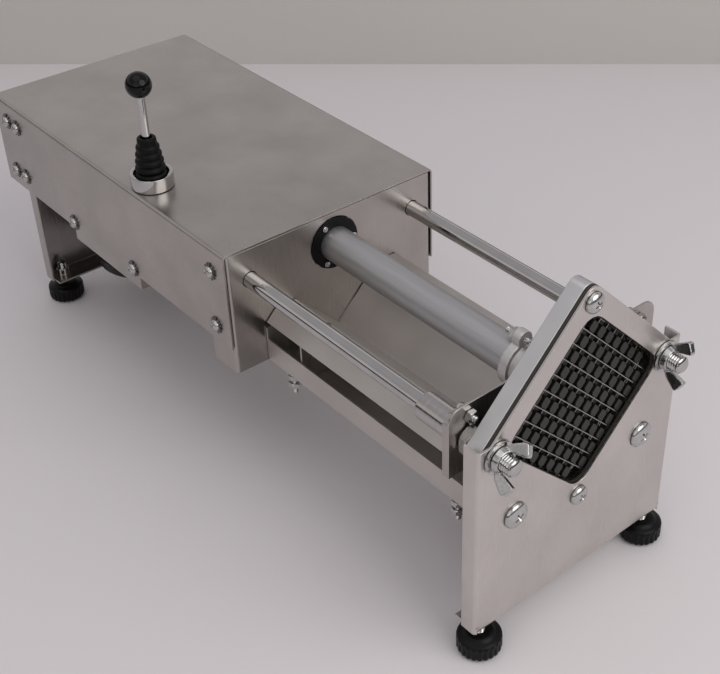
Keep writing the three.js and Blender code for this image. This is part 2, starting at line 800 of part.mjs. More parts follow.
// Cast flange: a disc with two lugs and a boss that stands on the pusher plate, with its bolts
const plateBackX = pusherX - sheet;
const tubeFlangeX = plateBackX - tubeFlangeInset;
function tubeFlange() {
  const front = plateBackX - seat;
  const discFront = tubeFlangeX + tubeFlangeThickness;
  const disc = bar(tubeFlangeRadius, 'x', tubeFlangeX, discFront, 0, axisHeight, fine);
  const boss = bar(tubeBossRadius, 'x', discFront - sink, front, 0, axisHeight, fine);
  const parts = [disc, boss];
  const studFront = front + sheet + flangeStudReach;
  for (const place of flangeBolts) {
    parts.push(bar(flangeLugRadius, 'x', tubeFlangeX, discFront, ...place));
    parts.push(bar(flangeStudRadius, 'x', tubeFlangeX - flangeStudTail, studFront, ...place, small));
    parts.push(nut(flangeNut.flats, 'x', tubeFlangeX - flangeNut.height, tubeFlangeX + sink, ...place));
  }
  const socketFront = tubeFlangeX + tubeSocketDepth;
  const socket = bar(tubeRadius + seat, 'x', tubeFlangeX - overrun, socketFront, 0, axisHeight, fine);
  return cut(join(...parts), socket);
}
piece('tube_flange', tubeFlange(), castMetal);

const tubeFront = tubeFlangeX + tubeSocketDepth - seat;
const tubeRear = bulkheadX - tubeInHousing;
piece('push_tube', pipe(tubeRadius, tubeBore, 'x', tubeRear, tubeFront, 0, axisHeight, fine), aluminium);

const nutSpigot = 10;
const screwInset = 2; // screw's end inside the drive nut
const nutLength = 18;
const driveNutFront = tubeRear - seat;
piece('drive_nut', turned([
  [screwRadius + runGap * 2, driveNutFront - nutLength], [outerTubeBore - seat, driveNutFront - nutLength],
  [outerTubeBore - seat, driveNutFront], [tubeBore - seat, driveNutFront], [
    tubeBore - seat, driveNutFront + nutSpigot,
  ],
  [screwRadius + runGap * 2, driveNutFront + nutSpigot], [
    screwRadius + runGap * 2, driveNutFront - nutLength,
  ],
], 'x', 0, axisHeight, fine), polished);

for (const [name, side] of sides) {
  const y = side * rodY;
  const front = plateBackX - seat;
  const sleeve = bar(bushingRadius, 'x', front - bushingLength, front, y, axisHeight, round);
  const flangeHalf = plateBolt.z - axisHeight + plateBolt.radius * 2;
  const square = roundedSquare(flangeHalf, bushingRadius, y, axisHeight, 0);
  const flange = prism(square, 'x', front - bushingFlange, front);
  const trim = block(
    front - overrun * 4, front + overrun, y - bushingRadius - sheet, y + bushingRadius + sheet,
    axisHeight - bushingRadius - sheet, plateTop - sheet,
  );
  const body = join(sleeve, flange.intersect(trim));
  const bore = bar(
    rodRadius + runGap, 'x', front - bushingLength - overrun, front + overrun, y, axisHeight,
  );
  const hole = bar(
    plateBolt.radius + seat, 'x', front - bushingFlange - overrun, front + overrun, y, plateBolt.z,
    small,
  );
  piece(`bushing_${name}`, cut(body, bore, hole), aluminium);
  const head = front - bushingFlange - seat;
  const bolt = join(
    bar(
      plateBolt.radius, 'x', head - sink, pusherX + seat + plateBolt.height + plateBolt.tip, y,
      plateBolt.z, small,
    ),
    bar(plateBolt.headRadius, 'x', head - plateBolt.head, head, y, plateBolt.z, small),
    nut(plateBolt.flats, 'x', pusherX + seat, pusherX + seat + plateBolt.height, y, plateBolt.z),
  );
  piece(`plate_bolt_${name}`, bolt, polished);
}

// Drive: end cap, drive tube, screw, bearings, worm wheel, worm, gearbox and motor
const capFlange = 1;
const capLength = 14;
const tubeEnd = gearboxX + gearboxLength / 2;
const capRear = bulkheadX + seat + capFlange - capLength;
function endCap() {
  const front = bulkheadX + seat + capFlange;
  return pipe(ringRadius, tubeRadius + seat, 'x', capRear, front, 0, axisHeight, fine);
}
piece('drive_end_cap', endCap(), plastic);
piece(
  'drive_tube',
  pipe(outerTubeRadius, outerTubeBore, 'x', tubeEnd + seat, capRear - seat, 0, axisHeight, fine),
  aluminium,
);

const caseHalf = 19.5;
const wormRoom = 13; // from the worm's axis to the case's near face
const caseWall = 4;
const caseNear = -wormOffset - wormRoom;
const caseFar = 19;
const lidThickness = 3;
const wheelWidth = 10;
const wheelRoom = 3; // beside the worm wheel
const wheelTipRadius = 13.6;
const wheelTeeth = 20;
const wormRadius = 6.3;
const toothDepth = 2.6;
const toothTipShare = 0.17; // half of a tooth's tip, and of its root, as shares of the pitch
const toothRootShare = 0.32;
const bearingRadius = 14;
const bearingLength = 9;
const rearBearingRadius = 11;
const rearBearingLength = 7;
const frontWall = gearboxX + gearboxLength / 2;
const rearWall = gearboxX - gearboxLength / 2;
const cavityHalf = wheelWidth / 2 + wheelRoom;

function gearboxCase() {
  const body = block(rearWall, frontWall, caseNear, caseFar, axisHeight - caseHalf, axisHeight + caseHalf);
  const cavity = block(
    gearboxX - cavityHalf, gearboxX + cavityHalf, caseNear + caseWall, caseFar + overrun,
    axisHeight - caseHalf + caseWall, axisHeight + caseHalf - caseWall,
  );
  const frontPocket = bar(
    bearingRadius + seat, 'x', gearboxX + cavityHalf - sink, frontWall + overrun, 0, axisHeight, fine,
  );
  const rearPocket = bar(rearBearingRadius + seat, 'x', rearWall + caseWall, gearboxX, 0, axisHeight, fine);
  const shaft = bar(
    wormRadius + overrun, 'z', axisHeight - caseHalf - overrun, axisHeight, gearboxX, -wormOffset,
  );
  return cut(body, cavity, frontPocket, rearPocket, shaft);
}
piece('gearbox_case', gearboxCase(), castMetal);
piece(
  'gearbox_lid',
  block(
    rearWall, frontWall, caseFar + seat, caseFar + seat + lidThickness, axisHeight - caseHalf,
    axisHeight + caseHalf,
  ),
  castMetal,
);

const bearingFront = gearboxX + cavityHalf + bearingLength;
piece(
  'screw_bearing_front',
  pipe(
    bearingRadius, screwRadius + runGap, 'x', bearingFront - bearingLength, bearingFront, 0, axisHeight,
    fine,
  ),
  polished,
);
const rearBearingBack = rearWall + caseWall + seat;
piece(
  'screw_bearing_rear',
  pipe(
    rearBearingRadius, screwRadius + runGap, 'x', rearBearingBack, rearBearingBack + rearBearingLength,
    0, axisHeight, fine,
  ),
  polished,
);

const screwFront = tubeRear + nutSpigot - screwInset;
piece('lead_screw', bar(screwRadius, 'x', rearBearingBack, screwFront, 0, axisHeight), polished);
function wormWheel() {
  const points = [];
  const root = wheelTipRadius - toothDepth;
  for (let i = 0; i < wheelTeeth; i += 1) {
    const corners = [
      [root, -toothRootShare], [wheelTipRadius, -toothTipShare], [wheelTipRadius, toothTipShare],
      [root, toothRootShare],
    ];
    for (const [radius, share] of corners) {
      const angle = (i + share) * 2 * Math.PI / wheelTeeth;
      points.push([radius * Math.cos(angle), axisHeight + radius * Math.sin(angle)]);
    }
  }
  const back = gearboxX - wheelWidth / 2;
  const front = gearboxX + wheelWidth / 2;
  const bore = bar(screwRadius + runGap, 'x', back - overrun, front + overrun, 0, axisHeight, round);
  return cut(prism(points, 'x', back, front), bore);
}
piece('worm_wheel', wormWheel(), castMetal);

const wormHalf = 12;
const wormShaftRadius = 3.5;
const shaftSocket = 14;
const wormTop = axisHeight + caseHalf - caseWall - seat;
const worm = turned([
  [0, motorTop - shaftSocket], [wormShaftRadius, motorTop - shaftSocket], [
    wormShaftRadius, axisHeight - wormHalf,
  ],
  [wormRadius, axisHeight - wormHalf], [wormRadius, axisHeight + wormHalf],
  [wormShaftRadius, axisHeight + wormHalf], [wormShaftRadius, wormTop], [0, wormTop],
], 'z', gearboxX, -wormOffset);
piece('worm_shaft', worm, polished);

const motorEdge = 2;
const motorCap = 9; // height of the end cap at the foot of the can
const motorSeam = 0.6; // depth of the seam above the end cap
function motorCan() {
  const seamTop = motorBottom + motorCap + motorSeam * 2;
  const can = turned([
    [0, motorBottom], [motorRadius - motorEdge, motorBottom], [motorRadius, motorBottom + motorEdge],
    [motorRadius, motorBottom + motorCap], [motorRadius - motorSeam, motorBottom + motorCap],
    [motorRadius - motorSeam, seamTop], [motorRadius, seamTop], [motorRadius, motorTop - motorEdge],
    [motorRadius - motorEdge, motorTop], [0, motorTop],
  ], 'z', gearboxX, -wormOffset, fine);
  return cut(
    can,
    bar(
      wormShaftRadius + seat, 'z', motorTop - shaftSocket - seat, motorTop + overrun, gearboxX,
      -wormOffset,
    ),
  );
}
piece('motor_can', motorCan(), plastic);

// Tray under the drive that carries the power supply, notched round the motor
const trayHalfWidth = coverInner - sideGap;
const notchRoom = 2; // between the motor and the tray
function electronicsTray() {
  const floor = block(trayRearX, trayFrontX, -trayHalfWidth, trayHalfWidth, trayBottom, trayBottom + sheet);
  const walls = sides.map(([, side]) => {
    const outer = side * trayHalfWidth;
    const inner = side * (trayHalfWidth - sheet);
    return block(
      trayRearX, trayFrontX, Math.min(outer, inner), Math.max(outer, inner), trayBottom, trayWallTop,
    );
  });
  const front = block(
    trayFrontX - sheet, trayFrontX, -trayHalfWidth, trayHalfWidth, trayBottom, trayWallTop,
  );
  const notch = bar(
    motorRadius + notchRoom, 'z', trayBottom - overrun, trayWallTop + overrun, gearboxX, -wormOffset,
    fine,
  );
  return cut(join(floor, ...walls, front), notch);
}
piece('electronics_tray', electronicsTray(), steel);

const supplyMargin = 3;
const supplyHalfWidth = trayHalfWidth - sheet - supplyMargin;
piece('power_supply', block(
  gearboxX + motorRadius + supplyMargin * 2, trayFrontX - sheet - supplyMargin,
  -supplyHalfWidth, supplyHalfWidth,
  trayBottom + sheet + seat, axisHeight - outerTubeRadius - supplyMargin,
), aluminium);

// Joystick: collar, ribbed boot, lever with its ball, and the switch under the cover
const bootBottom = coverTop + seat * 2;
piece(
  'lever_collar',
  pipe(
    collarRadius, collarBore, 'z', coverTop + seat, coverTop + seat + collarHeight, leverX, leverY,
    fine,
  ),
  polished,
);

function leverBoot() {
  const boreRadius = pivotRadius + seat;
  const profile = [[boreRadius, bootBottom], [bootBaseRadius, bootBottom]];
  const ribPitch = (bootTop - bootBottom) / (bootRibs + 1);
  for (let i = 0; i < bootRibs; i += 1) {
    const radius = bootBaseRadius + (bootTopRibRadius - bootBaseRadius) * i / (bootRibs - 1);
    profile.push([radius, bootBottom + ribPitch * (i + bootRibCrestShare)]);
    profile.push([radius - bootRibDepth, bootBottom + ribPitch * (i + 1)]);
  }
  profile.push([bootNeckRadius, bootBottom + ribPitch * (bootRibs + bootRibCrestShare)]);
  profile.push([bootNeckRadius, bootTop]);
  profile.push([boreRadius, bootTop]);
  profile.push([boreRadius, bootBottom]);
  return turned(profile, 'z', leverX, leverY, small);
}
piece('lever_boot', leverBoot(), rubber);

const stemTail = 12;
const stemBottom = leverPivotHeight - stemTail;
function leverStem() {
  const stem = bar(leverRadius, 'z', stemBottom, ballHeight - ballRadius + sheet, leverX, leverY);
  const pivot = ball(pivotRadius, leverX, leverY, leverPivotHeight, small, small / 2);
  return join(stem, pivot);
}
piece('lever_stem', leverStem(), polished);
function ball(radius, x, y, z, sides, rings) {
  return solid(new THREE.SphereGeometry(radius, sides, rings).rotateX(Math.PI / 2).translate(x, y, z));
}
const knobBall = ball(ballRadius, leverX, leverY, ballHeight, ballSides, small);
piece(
  'lever_ball',
  cut(
    knobBall,
    bar(
      leverRadius + seat, 'z', ballHeight - ballRadius - overrun,
      ballHeight - ballRadius + sheet + seat, leverX, leverY,
    ),
  ),
  plastic,
);

function switchBody() {
  const top = coverInnerTop - seat;
  const body = bar(switchRadius, 'z', top - switchDepth, top, leverX, leverY);
  const pocket = bar(switchRadius - sheet * 2, 'z', stemBottom - seat * 3, top + overrun, leverX, leverY);
  return cut(body, pocket);
}
piece('switch_body', switchBody(), plastic);

// Levelling feet: a fluted knob on a threaded stud
function footKnob(x, y) {
  const points = [];
  for (let i = 0; i < knobFlutes * 2; i += 1) {
    const radius = i % 2 === 0 ? knobRadius : knobRadius - 1;
    const angle = i * Math.PI / knobFlutes;
    points.push([x + radius * Math.cos(angle), y + radius * Math.sin(angle)]);
  }
  const body = prism(points, 'z', 0, knobHeight - sheet);
  const hub = turned(
    [
      [0, knobHeight - sheet - sink], [knobRadius - 2, knobHeight - sheet - sink],
      [knobRadius - 4, knobHeight], [0, knobHeight],
    ],
    'z', x, y,
  );
  return cut(
    join(body, hub), bar(studRadius + seat, 'z', knobHeight / 2, knobHeight + overrun, x, y, small),
  );
}

for (const [end, x, y] of [['front', frontFootX, frontFootY], ['rear', rearFootX, rearFootY]]) {
  for (const [name, side] of sides) {
    const stud = bar(studRadius, 'z', knobHeight / 2 + seat, studTop, x, side * y, small);
    piece(`foot_knob_${end}_${name}`, footKnob(x, side * y), plastic);
    piece(`foot_stud_${end}_${name}`, stud, polished);
  }
}

export default group;
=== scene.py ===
"""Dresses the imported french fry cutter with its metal, plastic and rubber pieces, and lights it."""

import json
import math

import bmesh
import bpy
from mathutils import Euler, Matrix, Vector


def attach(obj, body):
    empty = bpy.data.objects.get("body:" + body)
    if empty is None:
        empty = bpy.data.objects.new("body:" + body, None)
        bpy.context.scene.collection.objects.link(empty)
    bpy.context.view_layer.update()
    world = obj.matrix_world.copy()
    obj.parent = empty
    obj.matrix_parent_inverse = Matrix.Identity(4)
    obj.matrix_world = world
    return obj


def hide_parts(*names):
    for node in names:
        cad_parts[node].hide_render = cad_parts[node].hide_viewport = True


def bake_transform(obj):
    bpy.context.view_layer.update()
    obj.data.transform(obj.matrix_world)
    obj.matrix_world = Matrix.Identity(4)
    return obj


bl_info = {
    "name": "French fry cutter",
    "version": (1, 0, 0),
    "blender": (4, 5, 0),
    "location": "View3D > Sidebar > Fry Cutter",
    "description": "Builds the visible pieces of an electric french fry cutter round its CAD frame",
    "category": "Object",
}

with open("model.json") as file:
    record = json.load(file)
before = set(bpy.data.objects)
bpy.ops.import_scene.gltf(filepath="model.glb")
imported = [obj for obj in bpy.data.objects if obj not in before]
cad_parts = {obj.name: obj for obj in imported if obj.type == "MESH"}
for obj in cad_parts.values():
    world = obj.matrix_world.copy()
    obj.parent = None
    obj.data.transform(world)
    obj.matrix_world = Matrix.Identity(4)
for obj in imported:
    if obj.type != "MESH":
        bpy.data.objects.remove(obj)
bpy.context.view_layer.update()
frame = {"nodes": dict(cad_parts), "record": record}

MM = 0.001
BODY_OF = {node: body for body, nodes in frame["record"]["behaviour"]["bodies"].items() for node in nodes}
SLOT_OF = {row["node"]: row["material_slot"] for row in frame["record"]["subparts"]}
SIDES = (("near", -1), ("far", 1))

# Mesh work, in metres: points closer than this are one, and a CAD node's points may lie a little wider
MERGE_REACH = 1e-7
CAD_MERGE_REACH = 2e-6
# A shorter length than this is none
TINY = 1e-6
# Most of an edge that a softened corner may take
CORNER_SHARE = 0.45
# Edges that bend less than these degrees are smooth
SMOOTH_ANGLE = 35.0
PRISM_ANGLE = 30.0
NUT_ANGLE = 25.0
THREAD_ANGLE = 50.0
CAST_ANGLE = 50.0
KNOB_ANGLE = 40.0
BOOT_ANGLE = 60.0
# Steps round a turned piece
THREAD_STEPS = 36
SMALL_STEPS = 48
TURNED_STEPS = 64
NUT_STEPS = 72
WIDE_STEPS = 96
KNOB_STEPS = 180
# Faces of a box whose points go round its foot and then round its top
BOX_FACES = ([0, 1, 2, 3], [4, 5, 6, 7], [0, 1, 5, 4], [1, 2, 6, 5], [2, 3, 7, 6], [3, 0, 4, 7])

# From here on, places and sizes of the real pieces, in millimetres
# Axis of the tube and grid, and the gap that CAD leaves between sheets that touch
AXIS_Z = 139.0
SEAT = 0.3

# Head
PANEL_X = 240.4
HEAD_FRONT_X = 236.7
HEAD_SCREW_REACH = 63.0
HEAD_SCREW_RADIUS = 6.0
HEAD_SCREW_LENGTH = 12.0
PANEL_SCREW = (48.2, 91.6)
PANEL_SCREW_RADIUS = 7.8
PANEL_SCREW_LENGTH = 9.6
SCREW_DOME = 3.4
SCREW_SHANK = 3.0
PANEL_NUT_X = (232.8, 236.8)
PANEL_NUT_FLATS = 8.0
PANEL_NUT_BORE = 2.9

# Blade grid. The layers give the back and front of the two rows of blades
CHIP = 9.0
CHIPS_ACROSS = 9
WINDOW_HALF = 41.0
BLADE_RIM = 1.6
BLADE_THICKNESS = 0.5
BLADE_OVERRUN = 0.5
BLADE_RIM_X = (HEAD_FRONT_X - 5.5, HEAD_FRONT_X)
BLADE_LAYERS = ((HEAD_FRONT_X - 4.3, HEAD_FRONT_X - 1.7), (HEAD_FRONT_X - 4.0, HEAD_FRONT_X))

# Guide rods with their nuts, washers and wing nuts
ROD_Y = 62.0
ROD_RADIUS = 5.0
ROD_PITCH = 1.5
ROD_BACK_X = 17.0
ROD_FRONT_REACH = 13.2
ROD_CHAMFER = 1.3
ROD_THREAD_LENGTH = 16.0
TAIL_NUT_X = (21.2, 29.2)
TAIL_NUT_FLATS = 17.0
ROD_NUT_X = (220.4, 226.4)
ROD_NUT_FLATS = 16.0
WASHER_RADIUS = 9.5
WASHER_BORE = 5.2
WASHER_THICKNESS = 1.5
HUB_RADII = (7.3, 6.5)
HUB_LENGTH = 3.8
# Outline of one wing: distance in front of the panel, and radius from the rod's axis
WING_OUTLINE = [(2.6, 5.6), (2.6, 7.2), (5.4, 10.4), (11.8, 14.4), (13.4, 14.6), (16.6, 9.4), (16.2, 8.2),
                (10.4, 6.6), (5.6, 5.6)]
WING_CORNER = 1.2
# A wing's thickness at its root and tip, and the radii where it has them
WING_ROOT = 3.0
WING_TIP = 4.4
WING_RADII = (6.0, 14.6)
WING_DEGREES = {"near": 54, "far": 75}

# Pusher
BLOCK_X = (219.8, 230.8)
BLOCK_HALF = 40.5
BLOCK_CORNER = 10.0
# The block's back and front edges: how far they run in, and the share of the outline that is left
BLOCK_EDGES = (0.3, 0.4)
BLOCK_EDGE_SHARES = (0.995, 0.99)
FINGER_FRONT_X = 237.0
# Half outline of a finger: its long sides run along the blades, and its corners are cut upright and level
FINGER_OUTLINE = ((3.2, -0.9), (3.2, 0.9), (0.4, 3.8), (-0.4, 3.8))
FINGER_ROOT = 0.5
FINGER_EDGE = 0.2
FINGER_TIP_SHARE = 0.94
# The fingers stand this much below the middle of their cells
FINGER_SAG = 0.85
PLATE_BACK_X = 218.0
PLATE_BOLT_Z = 152.4
PLATE_BOLT_END_X = 225.0
# Outline of the plate bolt's head: radius, and place along the machine
PLATE_BOLT_HEAD = ((0, 211.9), (3.0, 211.9), (3.6, 212.5), (3.6, 214.9), (2.0, 214.9))
PLATE_NUT_X = (219.8, 223.0)
TUBE_RADIUS = 11.0
TUBE_BORE = 8.6
TUBE_X = (5.0, 201.7)

# Cast flange on the tube's end
FLANGE_X = 190.0
FLANGE_THICKNESS = 6
FLANGE_RADIUS = 14.6
FLANGE_NOSE_RADIUS = 12.4
LUG_RADIUS = 5.2
SOCKET_RADIUS = TUBE_RADIUS + SEAT
SOCKET_DEPTH = 12
SOCKET_OVERRUN = 3
FLANGE_BOLT_REACH = 16.0
FLANGE_BOLT_BACK = 8
FLANGE_BOLT_END_X = 225.2

# Small bolts of the pusher and saddles, with their nuts
BOLT_RADIUS = 2.0
BOLT_PITCH = 0.7
BOLT_THREAD_DEPTH = 0.3
BOLT_EDGE = 0.4
NUT_FLATS = 7.0
NUT_HEIGHT = 3.2

# Saddles between the rails, with the places of their CAD bolts. The photo shows the bolts further back
SADDLE_BOLTS = (("rear", 57.1), ("front", 205.1))
SADDLE_BOLT_BACK = 5.0
SADDLE_BOLT_Y = 50.8
SADDLE_FLOOR = 75.7
SADDLE_BOLT_DROP = 12.8
SADDLE_BOLT_RISE = 0.6
SADDLE_NUT_DROP = 0.1
LOCK_NUT_DROP = 5.6
LEDGE_SCREW = (67.0, -34.6, 112.0)

# Housing
COVER_HALF_WIDTH = 79.2
COVER_TOP = 161.0
# Places of the side screws: along the machine, and height
SIDE_SCREWS = ((16.4, 145), (16.4, 107), (-80.6, 100), (-157.6, 100), (-223.6, 146), (-237.6, 146),
               (-223.6, 108), (-237.6, 108))
SIDE_SCREW_RADIUS = 3.8
SIDE_SCREW_DOME = 2.8
STAR_RADIUS = 5.6
STAR_BORE = 2.2
STAR_THICKNESS = 0.8
STAR_TEETH = 11
STAR_TOOTH = 1.4
# Small gap under a washer or a screw's head
REST_GAP = 0.05
INLET = (38.0, 128.0)
INLET_PINS = ((-7.0, -2.0), (0.0, 3.0), (7.0, -2.0))
PIN_X = (-254.0, -240.5)
PIN_HALF = (1, 2)
PIN_EDGE = 0.4

# Drive: black ring round the tube, and the motor's can with its outline in radius and height
RING_X = (18.3, 32.3)
RING_RADIUS = 17.2
RING_EDGE = 0.5
RING_SCREWS = 3
RING_SCREW_REACH = 14.3
MOTOR = (-179.6, -20.3)
CAN_OUTLINE = [(0, 37.5), (31.0, 37.5), (33.0, 39.5), (33.0, 46.5), (32.4, 46.5), (32.4, 47.7), (33.0, 47.7),
               (33.0, 116.4), (31.0, 118.4), (3.8, 118.4), (3.8, 104.1), (0, 104.1)]

# Switch lever
LEVER = (-68.0, -63.6)
LEVER_RADIUS = 2.6
STEM_Z = (152.0, 221.5)
PIVOT_Z = 164.0
PIVOT_RADIUS = 3.4
PIVOT_STRAIGHT = (161.5, 167.0)
BALL_Z = 228.0
BALL_RADIUS = 8.0
BALL_BORE = LEVER_RADIUS + 0.1
BALL_MOUTH = 7.2
BALL_BORE_END = 6.4
COLLAR_BORE = 11.0
COLLAR_RADIUS = 13.4
COLLAR_HEIGHT = 9.0
COLLAR_EDGE = 0.5
BOOT_TOP = 194.0
BOOT_BORE = 3.7
BOOT_FOOT_RADIUS = 9.6
# Radii of the neck above the ribs, from its foot to its top, and of the lip round the stem
BOOT_NECK = (6.0, 5.8)
NECK_EDGE = 0.6
NECK_SHARE = 0.45
BOOT_LIP = 5.0
BOOT_CORNER = 0.9
RIB_RADIUS = 9.9
RIB_TAPER = 2.6
RIB_TAPER_POWER = 1.7
GROOVE_DEPTH = 1.3
# Where a rib starts and ends and where its groove does, as shares of the ribs' pitch
RIB_SHARES = (0.4, 0.74)
GROOVE_SHARES = (0.98, 1.08)

# Levelling feet, with the knob's outline below and above its flutes in radius and height
FEET = (("front", 234.7, 66.0), ("rear", -225.6, 66.0))
KNOB_RADIUS = 12.8
KNOB_HEIGHT = 13.5
KNOB_FOOT = [(0, 0), (9.5, 0), (11.2, 0.5), (KNOB_RADIUS - 0.3, 1.6), (KNOB_RADIUS, 2.6)]
KNOB_TOP = [(KNOB_RADIUS - 0.3, 10.6), (KNOB_RADIUS - 1.3, 11.4), (9.6, 11.8), (8.8, 12.3), (8.0, 13.2),
            (6.8, KNOB_HEIGHT), (3.4, KNOB_HEIGHT), (3.3, 6.8), (0, 6.8)]
FLUTE_START = 3.5
FLUTE_STEP = 1.5
FLUTE_RINGS = 5
# The flutes end at this height and this far in from the knob's edge, and fade out over this length
FLUTE_TOP = 9.8
FLUTE_REACH = 2.6
FLUTE_FADE = 1.2
STUD_RADIUS = 3.0
STUD_FOOT = 7.1
STUD_THREAD = (7.5, 29.5)
STUD_PITCH = 1.0
STUD_THREAD_DEPTH = 0.45
STUD_CHAMFER = 0.5
STUD_NUT_Z = (20.7, 25.0)
STUD_NUT_FLATS = 8.0

# Stage, in metres. The lens looks past the middle by some of the photo's pixels
CAMERA_PLACE = (0.5808, -0.4020, 0.5601)
CAMERA_CLIP = 0.01
SENSOR_WIDTH = 36
PHOTO_WIDTH = 720
PHOTO_SHIFT = -80
FLOOR_REACH = 6.0
WALL_DISTANCE = 0.545
WALL_REACH = 1.6
WALL_HEIGHT = 0.11
WALL_THICKNESS = 0.02
LAMP_COLOUR = (1.0, 0.985, 0.965)
# Each lamp's name, place, aim, size and share of the key lamp's power
LAMPS = (
    ("key_lamp", (1.2, 0.25, 1.05), (0.1, 0, 0.1), 1.4, 1.0),
    ("top_lamp", (0, -0.3, 1.6), (0, 0, 0.1), 1.4, 0.3),
    ("fill_lamp", (0.75, -1.0, 0.8), (0.2, -0.1, 0), 1.2, 0.15),
)
# The room's shades by height: dark to a little above the horizon, then bright walls and a softer ceiling
ROOM_SHADES = ((0.0, "#2A2828"), (0.13, "#343231"), (0.2, "#DEDAD8"), (0.42, "#D8D5D4"), (0.58, "#B6B3B6"),
               (1.0, "#C2C0C5"))
BACKGROUND = "#D0CBCD"


# Meshes

def place_point(axis, a, b, u, v, along):
    """Gives a point in metres from its place round an axis that stands at (a, b)."""
    if axis == "x":
        point = (along, a + u, b + v)
    elif axis == "y":
        point = (a + v, along, b + u)
    else:
        point = (a + u, b + v, along)
    return tuple(value * MM for value in point)


def ring_faces(low, high, count):
    """Gives the faces between two rings of points, from the numbers of their first points."""
    return [[low + i, low + (i + 1) % count, high + (i + 1) % count, high + i] for i in range(count)]


def add_piece(name, verts, faces, smooth_angle=SMOOTH_ANGLE):
    """Makes an object of these points and faces, smooth apart from its sharp edges."""
    mesh = bpy.data.meshes.new(name)
    mesh.from_pydata(verts, [], faces)
    piece = bpy.data.objects.new(name, mesh)
    bpy.context.scene.collection.objects.link(piece)
    shade(mesh, smooth_angle)
    return piece


def shade(mesh, smooth_angle):
    """Turns the faces outwards and smooths all edges that bend less than an angle."""
    work = bmesh.new()
    work.from_mesh(mesh)
    bmesh.ops.remove_doubles(work, verts=work.verts, dist=MERGE_REACH)
    bmesh.ops.recalc_face_normals(work, faces=work.faces)
    work.to_mesh(mesh)
    work.free()
    mesh.shade_smooth()
    mesh.set_sharp_from_angle(angle=math.radians(smooth_angle))


def soften(profile, radius, steps=3):
    """Rounds the inner corners of a line of points."""
    out = [profile[0]]
    for i in range(1, len(profile) - 1):
        here = Vector(profile[i])
        back = Vector(profile[i - 1]) - here
        ahead = Vector(profile[i + 1]) - here
        reach = min(radius, back.length * CORNER_SHARE, ahead.length * CORNER_SHARE)
        if reach < TINY:
            continue
        start = here + back.normalized() * reach
        end = here + ahead.normalized() * reach
        for step in range(steps + 1):
            share = step / steps
            point = start.lerp(here, share).lerp(here.lerp(end, share), share)
            out.append(tuple(point))
    out.append(profile[-1])
    return out


def turned(name, profile, axis, a, b, sides=TURNED_STEPS, form=None, smooth_angle=SMOOTH_ANGLE):
    """Turns a profile of (radius, distance) round an axis. A form may change each point's radius."""
    closed = profile[0] == profile[-1]
    rows = profile[:-1] if closed else profile
    verts = []
    rings = []
    for radius, along in rows:
        if radius < TINY:
            rings.append([len(verts)] * sides)
            verts.append(place_point(axis, a, b, 0, 0, along))
            continue
        ring = []
        for i in range(sides):
            angle = 2 * math.pi * i / sides
            reach = form(angle, radius, along) if form else radius
            ring.append(len(verts))
            verts.append(place_point(axis, a, b, reach * math.cos(angle), reach * math.sin(angle), along))
        rings.append(ring)
    faces = []
    pairs = list(zip(rings, rings[1:]))
    if closed:
        pairs.append((rings[-1], rings[0]))
    for low, high in pairs:
        for i in range(sides):
            j = (i + 1) % sides
            corners = []
            for corner in (low[i], low[j], high[j], high[i]):
                if corner not in corners:
                    corners.append(corner)
            if len(corners) > 2:
                faces.append(corners)
    return add_piece(name, verts, faces, smooth_angle)


def thread_form(depth, pitch, start, end):
    """Gives a form that cuts a screw thread into a bar between two distances."""
    def form(angle, radius, along):
        if not start <= along <= end:
            return radius
        wave = (along / pitch - angle / (2 * math.pi)) % 1
        run_out = min(1, (along - start) / pitch, (end - along) / pitch)
        return radius - depth * run_out * abs(2 * wave - 1)
    return form


def threaded_profile(radius, plain_from, start, end, pitch, chamfer):
    """Gives the profile of a bar with closely spaced rings where the thread runs."""
    steps_per_turn = 6
    profile = [(0, plain_from), (radius, plain_from)]
    steps = max(2, round((end - start) / pitch * steps_per_turn))
    for i in range(steps + 1):
        profile.append((radius, start + (end - start) * i / steps))
    profile += [(radius - chamfer, end + chamfer), (0, end + chamfer)]
    return profile


def hexagon(flats, turn=0.0):
    """Gives a form that keeps each ring inside a hexagon of this width over its flats."""
    def form(angle, radius, along):
        local = (angle - turn) % (math.pi / 3) - math.pi / 6
        return min(radius, flats / 2 / math.cos(local))
    return form


def nut_profile(flats, bore, start, end):
    """Gives a nut's profile, with its corners cut back at both ends."""
    face_share = 0.97
    chamfer_degrees = 30
    chamfer_stretch = 1.2
    lead_in = 0.3
    steps = 4
    corner = flats / 2 / math.cos(math.pi / 6)
    face = flats / 2 * face_share
    chamfer = (corner - flats / 2) * math.tan(math.radians(chamfer_degrees)) * chamfer_stretch
    low = []
    for i in range(steps + 1):
        share = i / steps
        low.append((face + (corner - face) * share, chamfer * share))
    profile = [(bore, start + lead_in), (bore + lead_in, start)]
    profile += [(radius, start + rise) for radius, rise in low]
    profile += [(radius, end - rise) for radius, rise in reversed(low)]
    profile += [(bore + lead_in, end), (bore, end - lead_in), (bore, start + lead_in)]
    return profile


def hex_nut(name, flats, bore, axis, start, end, a, b, turn=0.0):
    """Makes a six-sided nut."""
    profile = nut_profile(flats, bore, start, end)
    return turned(name, profile, axis, a, b, NUT_STEPS, hexagon(flats, turn), NUT_ANGLE)


def washer(name, radius, bore, axis, start, end, a, b):
    """Makes a flat washer with softened edges."""
    edge = 0.25
    ring = [(bore, start), (radius, start), (radius, end), (bore, end), (bore, start)]
    return turned(name, close_soft(ring, edge), axis, a, b)


